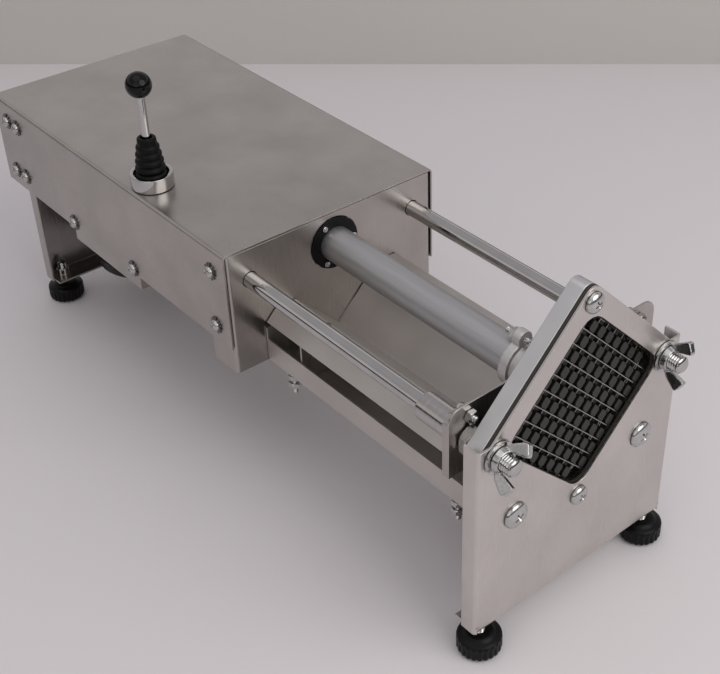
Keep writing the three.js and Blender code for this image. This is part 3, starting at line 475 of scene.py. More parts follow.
def close_soft(ring, radius):
    """Softens every corner of a closed profile, its first point too."""
    around = [ring[-2]] + ring + [ring[1]]
    soft = soften(around, radius)[1:-1]
    # The first corner comes again at the end, so its points are left out there
    seam = len(soft) // len(ring)
    body = soft[:-seam] if seam else soft
    return body + [body[0]]


def turned_place(u, v):
    """Gives the place across the machine of a point on the square that stands on its corner."""
    return (u + v) / math.sqrt(2), (v - u) / math.sqrt(2)


def diamond(half, corner, steps=8):
    """Gives the outline of a rounded square that stands on its corner."""
    outline = []
    inner = half - corner
    for quarter, (side_u, side_v) in enumerate(((1, 1), (-1, 1), (-1, -1), (1, -1))):
        for i in range(steps + 1):
            angle = (quarter + i / steps) * math.pi / 2
            outline.append(turned_place(side_u * inner + corner * math.cos(angle),
                                        side_v * inner + corner * math.sin(angle)))
    return outline


def add_prism(verts, faces, centre, outline, rows):
    """Adds a closed bar along the machine. Its rows give the outline's distance and scale."""
    first = len(verts)
    count = len(outline)
    for x, scale in rows:
        verts.extend((x * MM, (centre[0] + y * scale) * MM, (AXIS_Z + centre[1] + z * scale) * MM)
                     for y, z in outline)
    for row in range(len(rows) - 1):
        low = first + row * count
        faces += ring_faces(low, low + count, count)
    end = first + (len(rows) - 1) * count
    faces.append(list(range(first, first + count)))
    faces.append(list(range(end, end + count)))


def apply_modifiers(piece):
    """Replaces a piece's mesh by what its modifiers make of it."""
    graph = bpy.context.evaluated_depsgraph_get()
    mesh = bpy.data.meshes.new_from_object(piece.evaluated_get(graph))
    piece.modifiers.clear()
    piece.data = mesh


def cut_out(piece, cutter):
    """Cuts the cutter's shape out of a piece, and removes the cutter."""
    cut = piece.modifiers.new("cut", "BOOLEAN")
    cut.operation = "DIFFERENCE"
    cut.solver = "EXACT"
    cut.object = cutter
    apply_modifiers(piece)
    bpy.data.objects.remove(cutter)


def cross_recess(piece, axis, a, b, top, reach, depth, sign=1):
    """Cuts a cross for a screwdriver into a screw's head."""
    slot_share = 0.19
    turn = math.pi / 7
    # The cutter starts above the head, a little wider than the recess, and tapers to its foot
    above = 1.5
    wide_share = 1.1
    foot_share = 0.35
    slot = reach * slot_share
    corners = []
    for quarter in range(4):
        angle = quarter * math.pi / 2 + turn
        ahead = Vector((math.cos(angle), math.sin(angle)))
        beside = Vector((-ahead.y, ahead.x))
        corners += [ahead * slot - beside * slot, ahead * reach - beside * slot,
                    ahead * reach + beside * slot]
    verts = []
    for scale, along in ((wide_share, top + sign * above), (foot_share, top - sign * depth)):
        for corner in corners:
            verts.append(place_point(axis, a, b, corner.x * scale, corner.y * scale, along))
    count = len(corners)
    faces = [list(range(count)), list(range(2 * count - 1, count - 1, -1))] + ring_faces(0, count, count)
    cut_out(piece, add_piece("recess_cutter", verts, faces))
    shade(piece.data, SMOOTH_ANGLE)


def domed_screw(name, axis, a, b, face, radius, dome, sign=1, shank=0.0, length=0.0):
    """Makes a domed screw with a cross recess. Its head stands on a face and points along the axis."""
    rim = 0.4
    reach_share = 0.55
    depth_share = 0.6
    steps = 7
    profile = []
    if shank:
        profile += [(0, face - sign * length), (shank, face - sign * length), (shank, face)]
    else:
        profile.append((0, face))
    profile.append((radius, face))
    profile.append((radius, face + sign * rim))
    for i in range(1, steps):
        angle = i / steps * math.pi / 2
        profile.append((radius * math.cos(angle), face + sign * (rim + (dome - rim) * math.sin(angle))))
    profile.append((0, face + sign * dome))
    screw = turned(name, profile, axis, a, b, SMALL_STEPS)
    cross_recess(screw, axis, a, b, face + sign * dome, radius * reach_share, dome * depth_share, sign)
    return screw


def copied(name, node, edge=None, smooth_angle=SMOOTH_ANGLE, floor=None):
    """Copies a CAD node and rounds its sharp edges by a small radius. What is below the floor is left out."""
    edge = bpy.context.scene.fry_cutter_sizes.edge_radius / MM if edge is None else edge
    work = bmesh.new()
    work.from_mesh(frame["nodes"][node].data)
    bmesh.ops.remove_doubles(work, verts=work.verts, dist=CAD_MERGE_REACH)
    if floor is not None:
        below = [vert for vert in work.verts if vert.co.z < floor * MM]
        bmesh.ops.delete(work, geom=below, context="VERTS")
        bmesh.ops.holes_fill(work, edges=[rim for rim in work.edges if rim.is_boundary])
    bmesh.ops.dissolve_limit(work, angle_limit=math.radians(1), verts=work.verts, edges=work.edges)
    work.verts.index_update()
    verts = [tuple(vert.co) for vert in work.verts]
    faces = [[vert.index for vert in face.verts] for face in work.faces]
    work.free()
    piece = add_piece(name, verts, faces, smooth_angle)
    if edge:
        bevel = piece.modifiers.new("edge", "BEVEL")
        bevel.limit_method = "ANGLE"
        bevel.angle_limit = math.radians(smooth_angle)
        bevel.width = edge * MM
        bevel.segments = 2
        bevel.use_clamp_overlap = False
        apply_modifiers(piece)
        piece.data.shade_smooth()
        normals = piece.modifiers.new("normals", "WEIGHTED_NORMAL")
        normals.mode = "FACE_AREA"
        normals.weight = 50
    return piece


def fused(name, parts, voxel, smoothing):
    """Fuses overlapping pieces into one cast body with filleted joins."""
    verts = []
    faces = []
    for part in parts:
        offset = len(verts)
        verts += [tuple(vert.co) for vert in part.data.vertices]
        faces += [[offset + i for i in face.vertices] for face in part.data.polygons]
        bpy.data.objects.remove(part)
    piece = add_piece(name, verts, faces)
    remesh = piece.modifiers.new("fuse", "REMESH")
    remesh.mode = "VOXEL"
    remesh.voxel_size = voxel * MM
    smooth = piece.modifiers.new("fillet", "SMOOTH")
    smooth.factor = 0.5
    smooth.iterations = smoothing
    apply_modifiers(piece)
    piece.data.shade_smooth()
    return piece


# Materials

# Most of a noise's values lie between these
NOISE_RANGE = (0.3, 0.7)


def linear(text):
    """Turns an sRGB hex colour to the linear colour that a shader takes."""
    channels = [int(text[i:i + 2], 16) / 255 for i in (1, 3, 5)]
    return tuple(c / 12.92 if c <= 0.04045 else ((c + 0.055) / 1.055) ** 2.4 for c in channels) + (1.0,)


def add_node(tree, kind, settings=None, links=None):
    """Adds a node, sets its properties and sockets, and links sockets to it."""
    node = tree.nodes.new(kind)
    for key, value in (settings or {}).items():
        if isinstance(key, str) and hasattr(node, key):
            setattr(node, key, value)
        else:
            node.inputs[key].default_value = value
    for key, source in (links or {}).items():
        tree.links.new(source, node.inputs[key])
    return node


def add_noise(tree, width, stretch, detail):
    """Adds a noise in object space, this many millimetres wide and drawn out along each axis."""
    place = add_node(tree, "ShaderNodeTexCoord")
    scale = tuple(1 / (width * MM * run) for run in stretch)
    mapped = add_node(tree, "ShaderNodeMapping", {"Scale": scale}, {"Vector": place.outputs["Object"]})
    return add_node(tree, "ShaderNodeTexNoise", {"Scale": 1.0, "Detail": detail, "Roughness": 0.55},
                    {"Vector": mapped.outputs["Vector"]})


def new_material(name, settings, bump=None, tint=None, rough=None, stretch=(1, 1, 1), grain=1.0, detail=2.0,
                 cloud=None):
    """Makes a material whose tint, roughness and bump follow one stretched noise.

    grain is the width of the pattern in millimetres; stretch is how much longer it runs along each axis.
    With a cloud width in millimetres, the tint follows a broad noise of its own.
    """
    material = bpy.data.materials.new(name)
    material.use_nodes = True
    tree = material.node_tree
    tree.nodes.clear()
    shader = add_node(tree, "ShaderNodeBsdfPrincipled", settings)
    add_node(tree, "ShaderNodeOutputMaterial", links={"Surface": shader.outputs["BSDF"]})
    noise = add_noise(tree, grain, stretch, detail)
    if tint:
        shades = add_noise(tree, cloud, (1, 1, 1), 2.0) if cloud else noise
        ramp = add_node(tree, "ShaderNodeValToRGB", links={"Fac": shades.outputs["Fac"]})
        for element, position, colour in zip(ramp.color_ramp.elements, NOISE_RANGE, tint):
            element.position = position
            element.color = linear(colour)
        tree.links.new(ramp.outputs["Color"], shader.inputs["Base Color"])
    if rough:
        spread = add_node(tree, "ShaderNodeMapRange", {
            "From Min": NOISE_RANGE[0], "From Max": NOISE_RANGE[1], "To Min": rough[0], "To Max": rough[1]},
            {"Value": noise.outputs["Fac"]})
        tree.links.new(spread.outputs["Result"], shader.inputs["Roughness"])
    if bump:
        relief = add_node(tree, "ShaderNodeBump", {"Strength": bump[0], "Distance": bump[1] * MM},
                          {"Height": noise.outputs["Fac"]})
        tree.links.new(relief.outputs["Normal"], shader.inputs["Normal"])
    material.diffuse_color = linear(tint[0]) if tint else settings.get("Base Color", (0.5, 0.5, 0.5, 1))
    return material


METAL = {"Metallic": 1.0}
# How much longer the grain of brushed sheet runs along each axis
ALONG_SHEET = (80, 1, 1)
UPRIGHT_SHEET = (1, 1, 80)
# Names of the finishes that more than one kind of piece has
ALONG = "brushed stainless sheet along"
UPRIGHT = "brushed stainless sheet upright"
DULL_PAINTED_LIGHT = "dull stainless sheet with painted light"
CHROMED = "ground chromed steel"
ZINC = "zinc plated steel"
SATIN = "satin anodised aluminium"
CAST = "cast aluminium"
BRONZE = "machined bronze"
NYLON = "moulded nylon"


def plastic(ior, sheen=0.5):
    """Gives the settings of a plastic, rubber, paint or fibre from its IOR and the strength of its sheen."""
    return {"Metallic": 0.0, "IOR": ior, "Specular IOR Level": sheen}


def brushed(stretch, tint=("#ABA6A2", "#B7B2AE")):
    """Gives the settings of stainless sheet with a fine grain and broad soft clouds in its shade."""
    # The real grain is about 0.1 mm wide and too fine to show, so it is drawn 0.5 mm wide and faint
    return dict(settings=METAL, bump=(0.012, 0.04), tint=tint, rough=(0.27, 0.30), stretch=stretch, grain=0.5,
                cloud=38.0)


# What each material is made with; the comment says what the eye sees of it
FINISHES = {
    # Brushed along the machine: the cover and tray show long soft streaks
    ALONG: brushed(ALONG_SHEET),
    # Brushed upright: panels show faint upright streaks under cloudy reflections
    UPRIGHT: brushed(UPRIGHT_SHEET),
    # Trough and rails: the same sheet, duller, so that edges blur and light creeps under the lips. Its tint
    # is paler than the brushed sheet's, painted light that brightens their shaded faces and the strip under
    # the lips
    DULL_PAINTED_LIGHT: dict(settings=METAL, bump=(0.02, 0.05), tint=("#C1BCB8", "#CCC7C3"), rough=(0.44, 0.52),
               stretch=ALONG_SHEET, grain=0.5, cloud=38.0),
    # The front panel has the same sheet with a paler tint, painted light that stands in for the bright floor
    # it reflects; it keeps the same upright streaks
    "brushed stainless sheet with painted light": brushed(UPRIGHT_SHEET, ("#C8C3BF", "#D3CECA")),
    # Hard chrome on ground steel: mirror reflections, a little uneven in shade
    CHROMED: dict(settings=METAL, bump=(0.02, 0.02), tint=("#B9B7B6", "#C2C1C0"), rough=(0.05, 0.09),
                  grain=1.2, cloud=20.0),
    # Lathe-turned stainless: near mirror, with lines that run round the piece and a streaky highlight
    "turned stainless": dict(settings=METAL, bump=(0.04, 0.04), tint=("#B4B1AF", "#BFBCBA"),
                             rough=(0.12, 0.2), stretch=(1, 30, 30), grain=0.5),
    # Bright zinc on pressed fasteners: sharp highlights, slightly uneven
    ZINC: dict(settings=METAL, bump=(0.1, 0.08), tint=("#B4B4B4", "#C8C7C5"), rough=(0.12, 0.22), grain=1.6),
    # Tempered spring steel: toothed washers, brown-grey and half bright
    "blackened spring steel": dict(settings=METAL, bump=(0.1, 0.05), tint=("#6E6A67", "#8B8784"),
                                   rough=(0.25, 0.35), grain=0.8),
    # Blades: thin bright polished edges
    "polished stainless blade": dict(settings=METAL, tint=("#96938F", "#A5A29E"), rough=(0.2, 0.3),
                                     grain=2.0),
    # Drawn aluminium tube with a satin anodised skin: even grey with soft lengthwise streaks
    SATIN: dict(settings=METAL, bump=(0.04, 0.05), tint=("#B1B1B2", "#BBBBBC"), rough=(0.44, 0.52),
                stretch=(60, 1, 1), grain=0.6),
    # Sawn and sanded aluminium plate: dull silver with short scratches along the machine
    "sanded aluminium plate": dict(settings=METAL, bump=(0.05, 0.05), tint=("#CFCFD0", "#DADADA"),
                                   rough=(0.36, 0.44), stretch=(12, 1, 1), grain=0.7, cloud=25.0),
    # Cast aluminium: pale and dull with a fine grit from the mould
    CAST: dict(settings=METAL, bump=(0.35, 0.15), tint=("#CDCBC9", "#DAD8D6"), rough=(0.42, 0.58), grain=0.9,
               detail=4.0),
    # Machined bronze: warm brown metal
    BRONZE: dict(settings=METAL, bump=(0.06, 0.05), tint=("#A9875A", "#B59263"), rough=(0.25, 0.4),
                 grain=0.6),
    # Moulded nylon: near black with a faint matt grain
    NYLON: dict(settings=plastic(1.53, 0.16), bump=(0.1, 0.05), tint=("#070707", "#0B0A0A"),
                rough=(0.3, 0.42), grain=0.8),
    # Moulded polyethylene fingers: dark grey, dull, slightly dusty from use
    "moulded polyethylene": dict(settings=plastic(1.51, 0.4), bump=(0.1, 0.05), tint=("#171412", "#1E1A18"),
                                 rough=(0.3, 0.42), grain=1.5),
    # Phenolic ball: deep black with a glassy polish
    "polished phenolic": dict(settings=plastic(1.6, 0.18), tint=("#060606", "#090909"), rough=(0.07, 0.12),
                              grain=4.0),
    # Moulded rubber: black, dull, with a soft edge light
    "moulded rubber": dict(settings=plastic(1.52, 0.14), bump=(0.2, 0.06), tint=("#070707", "#0C0B0B"),
                           rough=(0.36, 0.5), grain=0.7),
    # Pressed fibre sheet: dark brown-grey edge between the metal plates
    "pressed fibre sheet": dict(settings=plastic(1.5), bump=(0.3, 0.1), tint=("#2A2724", "#393531"),
                                rough=(0.6, 0.8), grain=0.6),
    # Sprayed enamel on the motor's can: black with a slight orange peel
    "sprayed enamel": dict(settings=plastic(1.5, 0.3), bump=(0.08, 0.12), tint=("#0B0B0B", "#101010"),
                           rough=(0.25, 0.35), grain=1.8),
}
# Finishes by slot of the pieces inside the housing, which stay as CAD makes them
INNER_FINISHES = {"polished_steel": ZINC, "satin_aluminium": SATIN, "cast_aluminium": CAST, "bronze": BRONZE,
                  "black_plastic": NYLON}


def material(name):
    """Gives a material by its name, made at its first use."""
    return bpy.data.materials.get(name) or new_material(name, **FINISHES[name])


def fit_piece(piece, finish, node, hide=True):
    """Gives a piece its finish, and its body from the node that it stands for or belongs to."""
    piece.data.materials.clear()
    piece.data.materials.append(material(finish))
    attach(piece, BODY_OF[node])
    if hide:
        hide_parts(node)


def finish_node(node, finish):
    """Gives a CAD node that stays a better material."""
    slots = frame["nodes"][node].material_slots
    if not slots:
        frame["nodes"][node].data.materials.append(material(finish))
    for slot in slots:
        slot.material = material(finish)


# Settings

class FryCutterSizes(bpy.types.PropertyGroup):
    """Sizes that a user may change"""

    edge_radius: bpy.props.FloatProperty(
        name="Sheet edge radius", description="Rounding on the edges of sheet and plate", default=0.25 * MM,
        min=0.05 * MM, max=0.6 * MM, precision=5, unit="LENGTH")
    thread_depth: bpy.props.FloatProperty(
        name="Thread depth", description="Depth of the threads on the guide rods", default=0.62 * MM,
        min=0.1 * MM, max=0.9 * MM, precision=5, unit="LENGTH")
    flute_depth: bpy.props.FloatProperty(
        name="Flute depth", description="Depth of the flutes round the feet", default=0.75 * MM, min=0.2 * MM,
        max=2 * MM, precision=5, unit="LENGTH")
    foot_flutes: bpy.props.IntProperty(
        name="Foot flutes", description="Number of flutes round a foot", default=22, min=6, max=40)
    boot_ribs: bpy.props.IntProperty(
        name="Boot ribs", description="Number of ribs on the lever's boot", default=6, min=2, max=10)


class FryCutterStage(bpy.types.PropertyGroup):
    """Floor, light and camera"""

    floor_colour: bpy.props.FloatVectorProperty(
        name="Floor colour", description="Colour of the floor", size=4, subtype="COLOR", min=0, max=1,
        default=linear("#DBD7D9"))
    key_power: bpy.props.FloatProperty(
        name="Key lamp", description="Power of the large lamp above", default=9.1, min=0, unit="POWER")
    world_strength: bpy.props.FloatProperty(
        name="Room light", description="Strength of the light from the room", default=0.9, min=0)
    azimuth: bpy.props.FloatProperty(
        name="Camera azimuth", description="Direction that the camera looks from", default=math.radians(48.4),
        subtype="ANGLE")
    elevation: bpy.props.FloatProperty(
        name="Camera elevation", description="Height of the camera as an angle", default=math.radians(36.0),
        subtype="ANGLE")
    lens: bpy.props.FloatProperty(
        name="Lens", description="Focal length of the camera in millimetres", default=65.3, min=10, max=300)


# Operators

class FRYCUTTER_OT_stage(bpy.types.Operator):
    """Adds the camera, the lamps, the floor and wall, and the room light"""

    bl_idname = "frycutter.stage"
    bl_label = "Stage"

    def execute(self, context):
        scene = context.scene
        stage = scene.fry_cutter_stage
        scene.view_settings.view_transform = "Standard"
        self.add_camera(scene, stage)
        for lamp in LAMPS:
            self.add_lamp(scene, stage.key_power, *lamp)
        self.add_floor(stage)
        self.add_wall(stage)
        self.add_room(scene, stage)
        return {"FINISHED"}

    def add_camera(self, scene, stage):
        """Adds the camera where the photo was taken from."""
        camera = bpy.data.objects.new("camera", bpy.data.cameras.new("camera"))
        camera.location = CAMERA_PLACE
        camera.rotation_euler = Euler((math.pi / 2 - stage.elevation, 0, stage.azimuth))
        camera.data.lens = stage.lens
        camera.data.sensor_width = SENSOR_WIDTH
        camera.data.sensor_fit = "HORIZONTAL"
        camera.data.shift_x = PHOTO_SHIFT / PHOTO_WIDTH
        camera.data.clip_start = CAMERA_CLIP
        scene.collection.objects.link(camera)
        scene.camera = camera

    def add_lamp(self, scene, key_power, name, place, aim, size, power_share):
        """Adds a round soft lamp that points at its aim."""
        lamp = bpy.data.lights.new(name, "AREA")
        lamp.shape = "DISK"
        lamp.size = size
        lamp.energy = key_power * power_share
        lamp.color = LAMP_COLOUR
        holder = bpy.data.objects.new(name, lamp)
        holder.location = place
        holder.rotation_euler = (Vector(place) - Vector(aim)).to_track_quat("Z", "Y").to_euler()
        scene.collection.objects.link(holder)

    def add_floor(self, stage):
        """Adds the worktop: a painted board, even and pale, with a low dull sheen."""
        corners = [(u * FLOOR_REACH, v * FLOOR_REACH, 0) for u, v in ((-1, -1), (1, -1), (1, 1), (-1, 1))]
        floor = add_piece("floor", corners, [[0, 1, 2, 3]])
        paint = dict(plastic(1.5), **{"Base Color": tuple(stage.floor_colour)})
        floor.data.materials.append(new_material("painted board", paint, rough=(0.5, 0.65), grain=40.0))

    def add_wall(self, stage):
        """Adds the low painted wall behind the worktop, square to the camera."""
        ahead = Vector((-math.sin(stage.azimuth), math.cos(stage.azimuth)))
        middle = WALL_DISTANCE * ahead
        along = Vector((ahead.y, -ahead.x)) * WALL_REACH
        thick = ahead * WALL_THICKNESS
        foot = [middle - along, middle + along, middle + along + thick, middle - along + thick]
        verts = [(point.x, point.y, z) for z in (0, WALL_HEIGHT) for point in foot]
        wall = add_piece("wall", verts, BOX_FACES)
        paint = dict(plastic(1.5), **{"Base Color": linear("#C6C2BF")})
        wall.data.materials.append(new_material("painted wall", paint, rough=(0.55, 0.7), grain=40.0))

    def add_room(self, scene, stage):
        """Lights the object by a room's shades, and shows the camera a plain background."""
        world = bpy.data.worlds.new("room")
        world.use_nodes = True
        tree = world.node_tree
        tree.nodes.clear()
        place = add_node(tree, "ShaderNodeTexCoord")
        split = add_node(tree, "ShaderNodeSeparateXYZ", links={"Vector": place.outputs["Generated"]})
        ramp = add_node(tree, "ShaderNodeValToRGB", links={"Fac": split.outputs["Z"]})
        shades = ramp.color_ramp.elements
        for element, (height, colour) in zip(shades, (ROOM_SHADES[0], ROOM_SHADES[-1])):
            element.position = height
            element.color = linear(colour)
        for height, colour in ROOM_SHADES[1:-1]:
            shades.new(height).color = linear(colour)
        room = add_node(tree, "ShaderNodeBackground", {"Strength": stage.world_strength},
                        {"Color": ramp.outputs["Color"]})
        plain = add_node(tree, "ShaderNodeBackground", {"Color": linear(BACKGROUND), "Strength": 1.0})
        rays = add_node(tree, "ShaderNodeLightPath")
        mix = add_node(tree, "ShaderNodeMixShader", links={
            "Fac": rays.outputs["Is Camera Ray"], 1: room.outputs["Background"],
            2: plain.outputs["Background"]})
        add_node(tree, "ShaderNodeOutputWorld", links={"Surface": mix.outputs["Shader"]})
        scene.world = world


class FRYCUTTER_OT_head(bpy.types.Operator):
    """Adds the front panel, seal sheet, head plate, blade grid and their screws"""

    bl_idname = "frycutter.head"
    bl_label = "Head"

    def execute(self, context):
        # The front panel takes the paler tint of painted light
        fit_piece(copied("front_panel_sheet", "front_panel"), "brushed stainless sheet with painted light", "front_panel")
        fit_piece(copied("seal_sheet_edge", "seal_sheet", edge=0.15), "pressed fibre sheet", "seal_sheet")
        fit_piece(copied("head_plate_sanded", "head_plate", edge=0.5), "sanded aluminium plate", "head_plate")
        fit_piece(self.blade_grid(), "polished stainless blade", "blade_grid")
        for name, sign in (("bottom", -1), ("top", 1)):
            self.screw(f"head_screw_{name}", 0, AXIS_Z + sign * HEAD_SCREW_REACH, HEAD_SCREW_RADIUS,
                       HEAD_SCREW_LENGTH)
        for name, sign in SIDES:
            node = f"panel_screw_{name}"
            y, z = sign * PANEL_SCREW[0], PANEL_SCREW[1]
            self.screw(node, y, z, PANEL_SCREW_RADIUS, PANEL_SCREW_LENGTH)
            nut = hex_nut(f"{node}_nut", PANEL_NUT_FLATS, PANEL_NUT_BORE, "x", *PANEL_NUT_X, y, z)
            fit_piece(nut, ZINC, node, hide=False)
        return {"FINISHED"}

    def screw(self, node, y, z, radius, length):
        """Adds a domed screw that holds the front panel, in its node's place."""
        screw = domed_screw(f"{node}_detail", "x", y, z, PANEL_X + SEAT, radius, SCREW_DOME,
                            shank=SCREW_SHANK, length=length)
        fit_piece(screw, ZINC, node)

    def blade_grid(self):
        """Makes the grid's rim and its two layers of crossing blades."""
        inner = diamond(WINDOW_HALF, BLOCK_CORNER)
        outer = diamond(WINDOW_HALF + BLADE_RIM, BLOCK_CORNER + BLADE_RIM)
        count = len(inner)
        rim_back, rim_front = BLADE_RIM_X
        rings = ((rim_back, inner), (rim_front, inner), (rim_front, outer), (rim_back, outer))
        verts = []
        faces = []
        for x, outline in rings:
            verts.extend((x * MM, y * MM, (AXIS_Z + z) * MM) for y, z in outline)
        for row in range(len(rings)):
            faces += ring_faces(row * count, (row + 1) % len(rings) * count, count)
        half = BLADE_THICKNESS / 2
        reach = WINDOW_HALF + BLADE_OVERRUN
        for i in range(CHIPS_ACROSS - 1):
            place = (i + 1 - CHIPS_ACROSS / 2) * CHIP
            low, high = place - half, place + half
            across = ((-reach, low), (reach, low), (reach, high), (-reach, high))
            upright = [turned_place(v, u) for u, v in across]
            level = [turned_place(u, v) for u, v in across]
            for outline, (back, front) in zip((upright, level), BLADE_LAYERS):
                add_prism(verts, faces, (0, 0), outline, [(back, 1), (front, 1)])
        return add_piece("blade_grid_polished", verts, faces, PRISM_ANGLE)


class FRYCUTTER_OT_guide_rods(bpy.types.Operator):
    """Adds the guide rods with their nuts, washers and wing nuts"""

    bl_idname = "frycutter.guide_rods"
    bl_label = "Guide rods"

    def execute(self, context):
        depth = context.scene.fry_cutter_sizes.thread_depth / MM
        end = PANEL_X + ROD_FRONT_REACH - ROD_CHAMFER
        start = PANEL_X - ROD_THREAD_LENGTH
        profile = threaded_profile(ROD_RADIUS, ROD_BACK_X, start, end, ROD_PITCH, ROD_CHAMFER)
        form = thread_form(depth, ROD_PITCH, start, end)
        face = PANEL_X + SEAT
        for name, sign in SIDES:
            place = (sign * ROD_Y, AXIS_Z)
            node = f"guide_rod_{name}"
            rod = turned(f"{node}_ground", profile, "x", *place, SMALL_STEPS, form, THREAD_ANGLE)
            fit_piece(rod, CHROMED, node)
            tail = hex_nut(f"rod_tail_nut_{name}", TAIL_NUT_FLATS, ROD_RADIUS, "x", *TAIL_NUT_X, *place)
            fit_piece(tail, ZINC, node, hide=False)
            nut_node = f"rod_nut_{name}"
            nut = hex_nut(f"{nut_node}_plated", ROD_NUT_FLATS, ROD_RADIUS, "x", *ROD_NUT_X, *place,
                          math.pi / 6)
            fit_piece(nut, ZINC, nut_node)
            washer_node = f"rod_washer_{name}"
            ring = washer(f"{washer_node}_plated", WASHER_RADIUS, WASHER_BORE, "x", face,
                          face + WASHER_THICKNESS, *place)
            fit_piece(ring, ZINC, washer_node)
            wing_node = f"wing_nut_{name}"
            wing = self.wing_nut(f"{wing_node}_plated", *place, WING_DEGREES[name])
            fit_piece(wing, ZINC, wing_node)
        return {"FINISHED"}

    def wing_nut(self, name, y, z, degrees):
        """Makes a wing nut: a short tapered hub with two wings that flare forwards."""
        back = PANEL_X + SEAT * 2 + WASHER_THICKNESS
        front = back + HUB_LENGTH
        hub = [(WASHER_BORE, back), (HUB_RADII[0], back), (HUB_RADII[1], front), (WASHER_BORE, front),
               (WASHER_BORE, back)]
        parts = [turned("wing_hub", hub, "x", y, z, SMALL_STEPS)]
        outline = close_soft(WING_OUTLINE + WING_OUTLINE[:1], WING_CORNER)[:-1]
        count = len(outline)
        faces = [list(range(count)), list(range(2 * count - 1, count - 1, -1))] + ring_faces(0, count, count)
        root_radius, tip_radius = WING_RADII
        for turn in (0, math.pi):
            angle = math.radians(degrees) + turn
            out = Vector((math.cos(angle), math.sin(angle)))
            beside = Vector((-out.y, out.x))
            verts = []
            for side in (-1, 1):
                for along, radius in outline:
                    widening = (WING_TIP - WING_ROOT) * (radius - root_radius) / (tip_radius - root_radius)
                    point = out * radius + beside * side * (WING_ROOT + widening) / 2
                    verts.append(place_point("x", y, z, point.x, point.y, PANEL_X + along))
            parts.append(add_piece("wing", verts, faces))
        return fused(name, parts, voxel=0.35, smoothing=5)


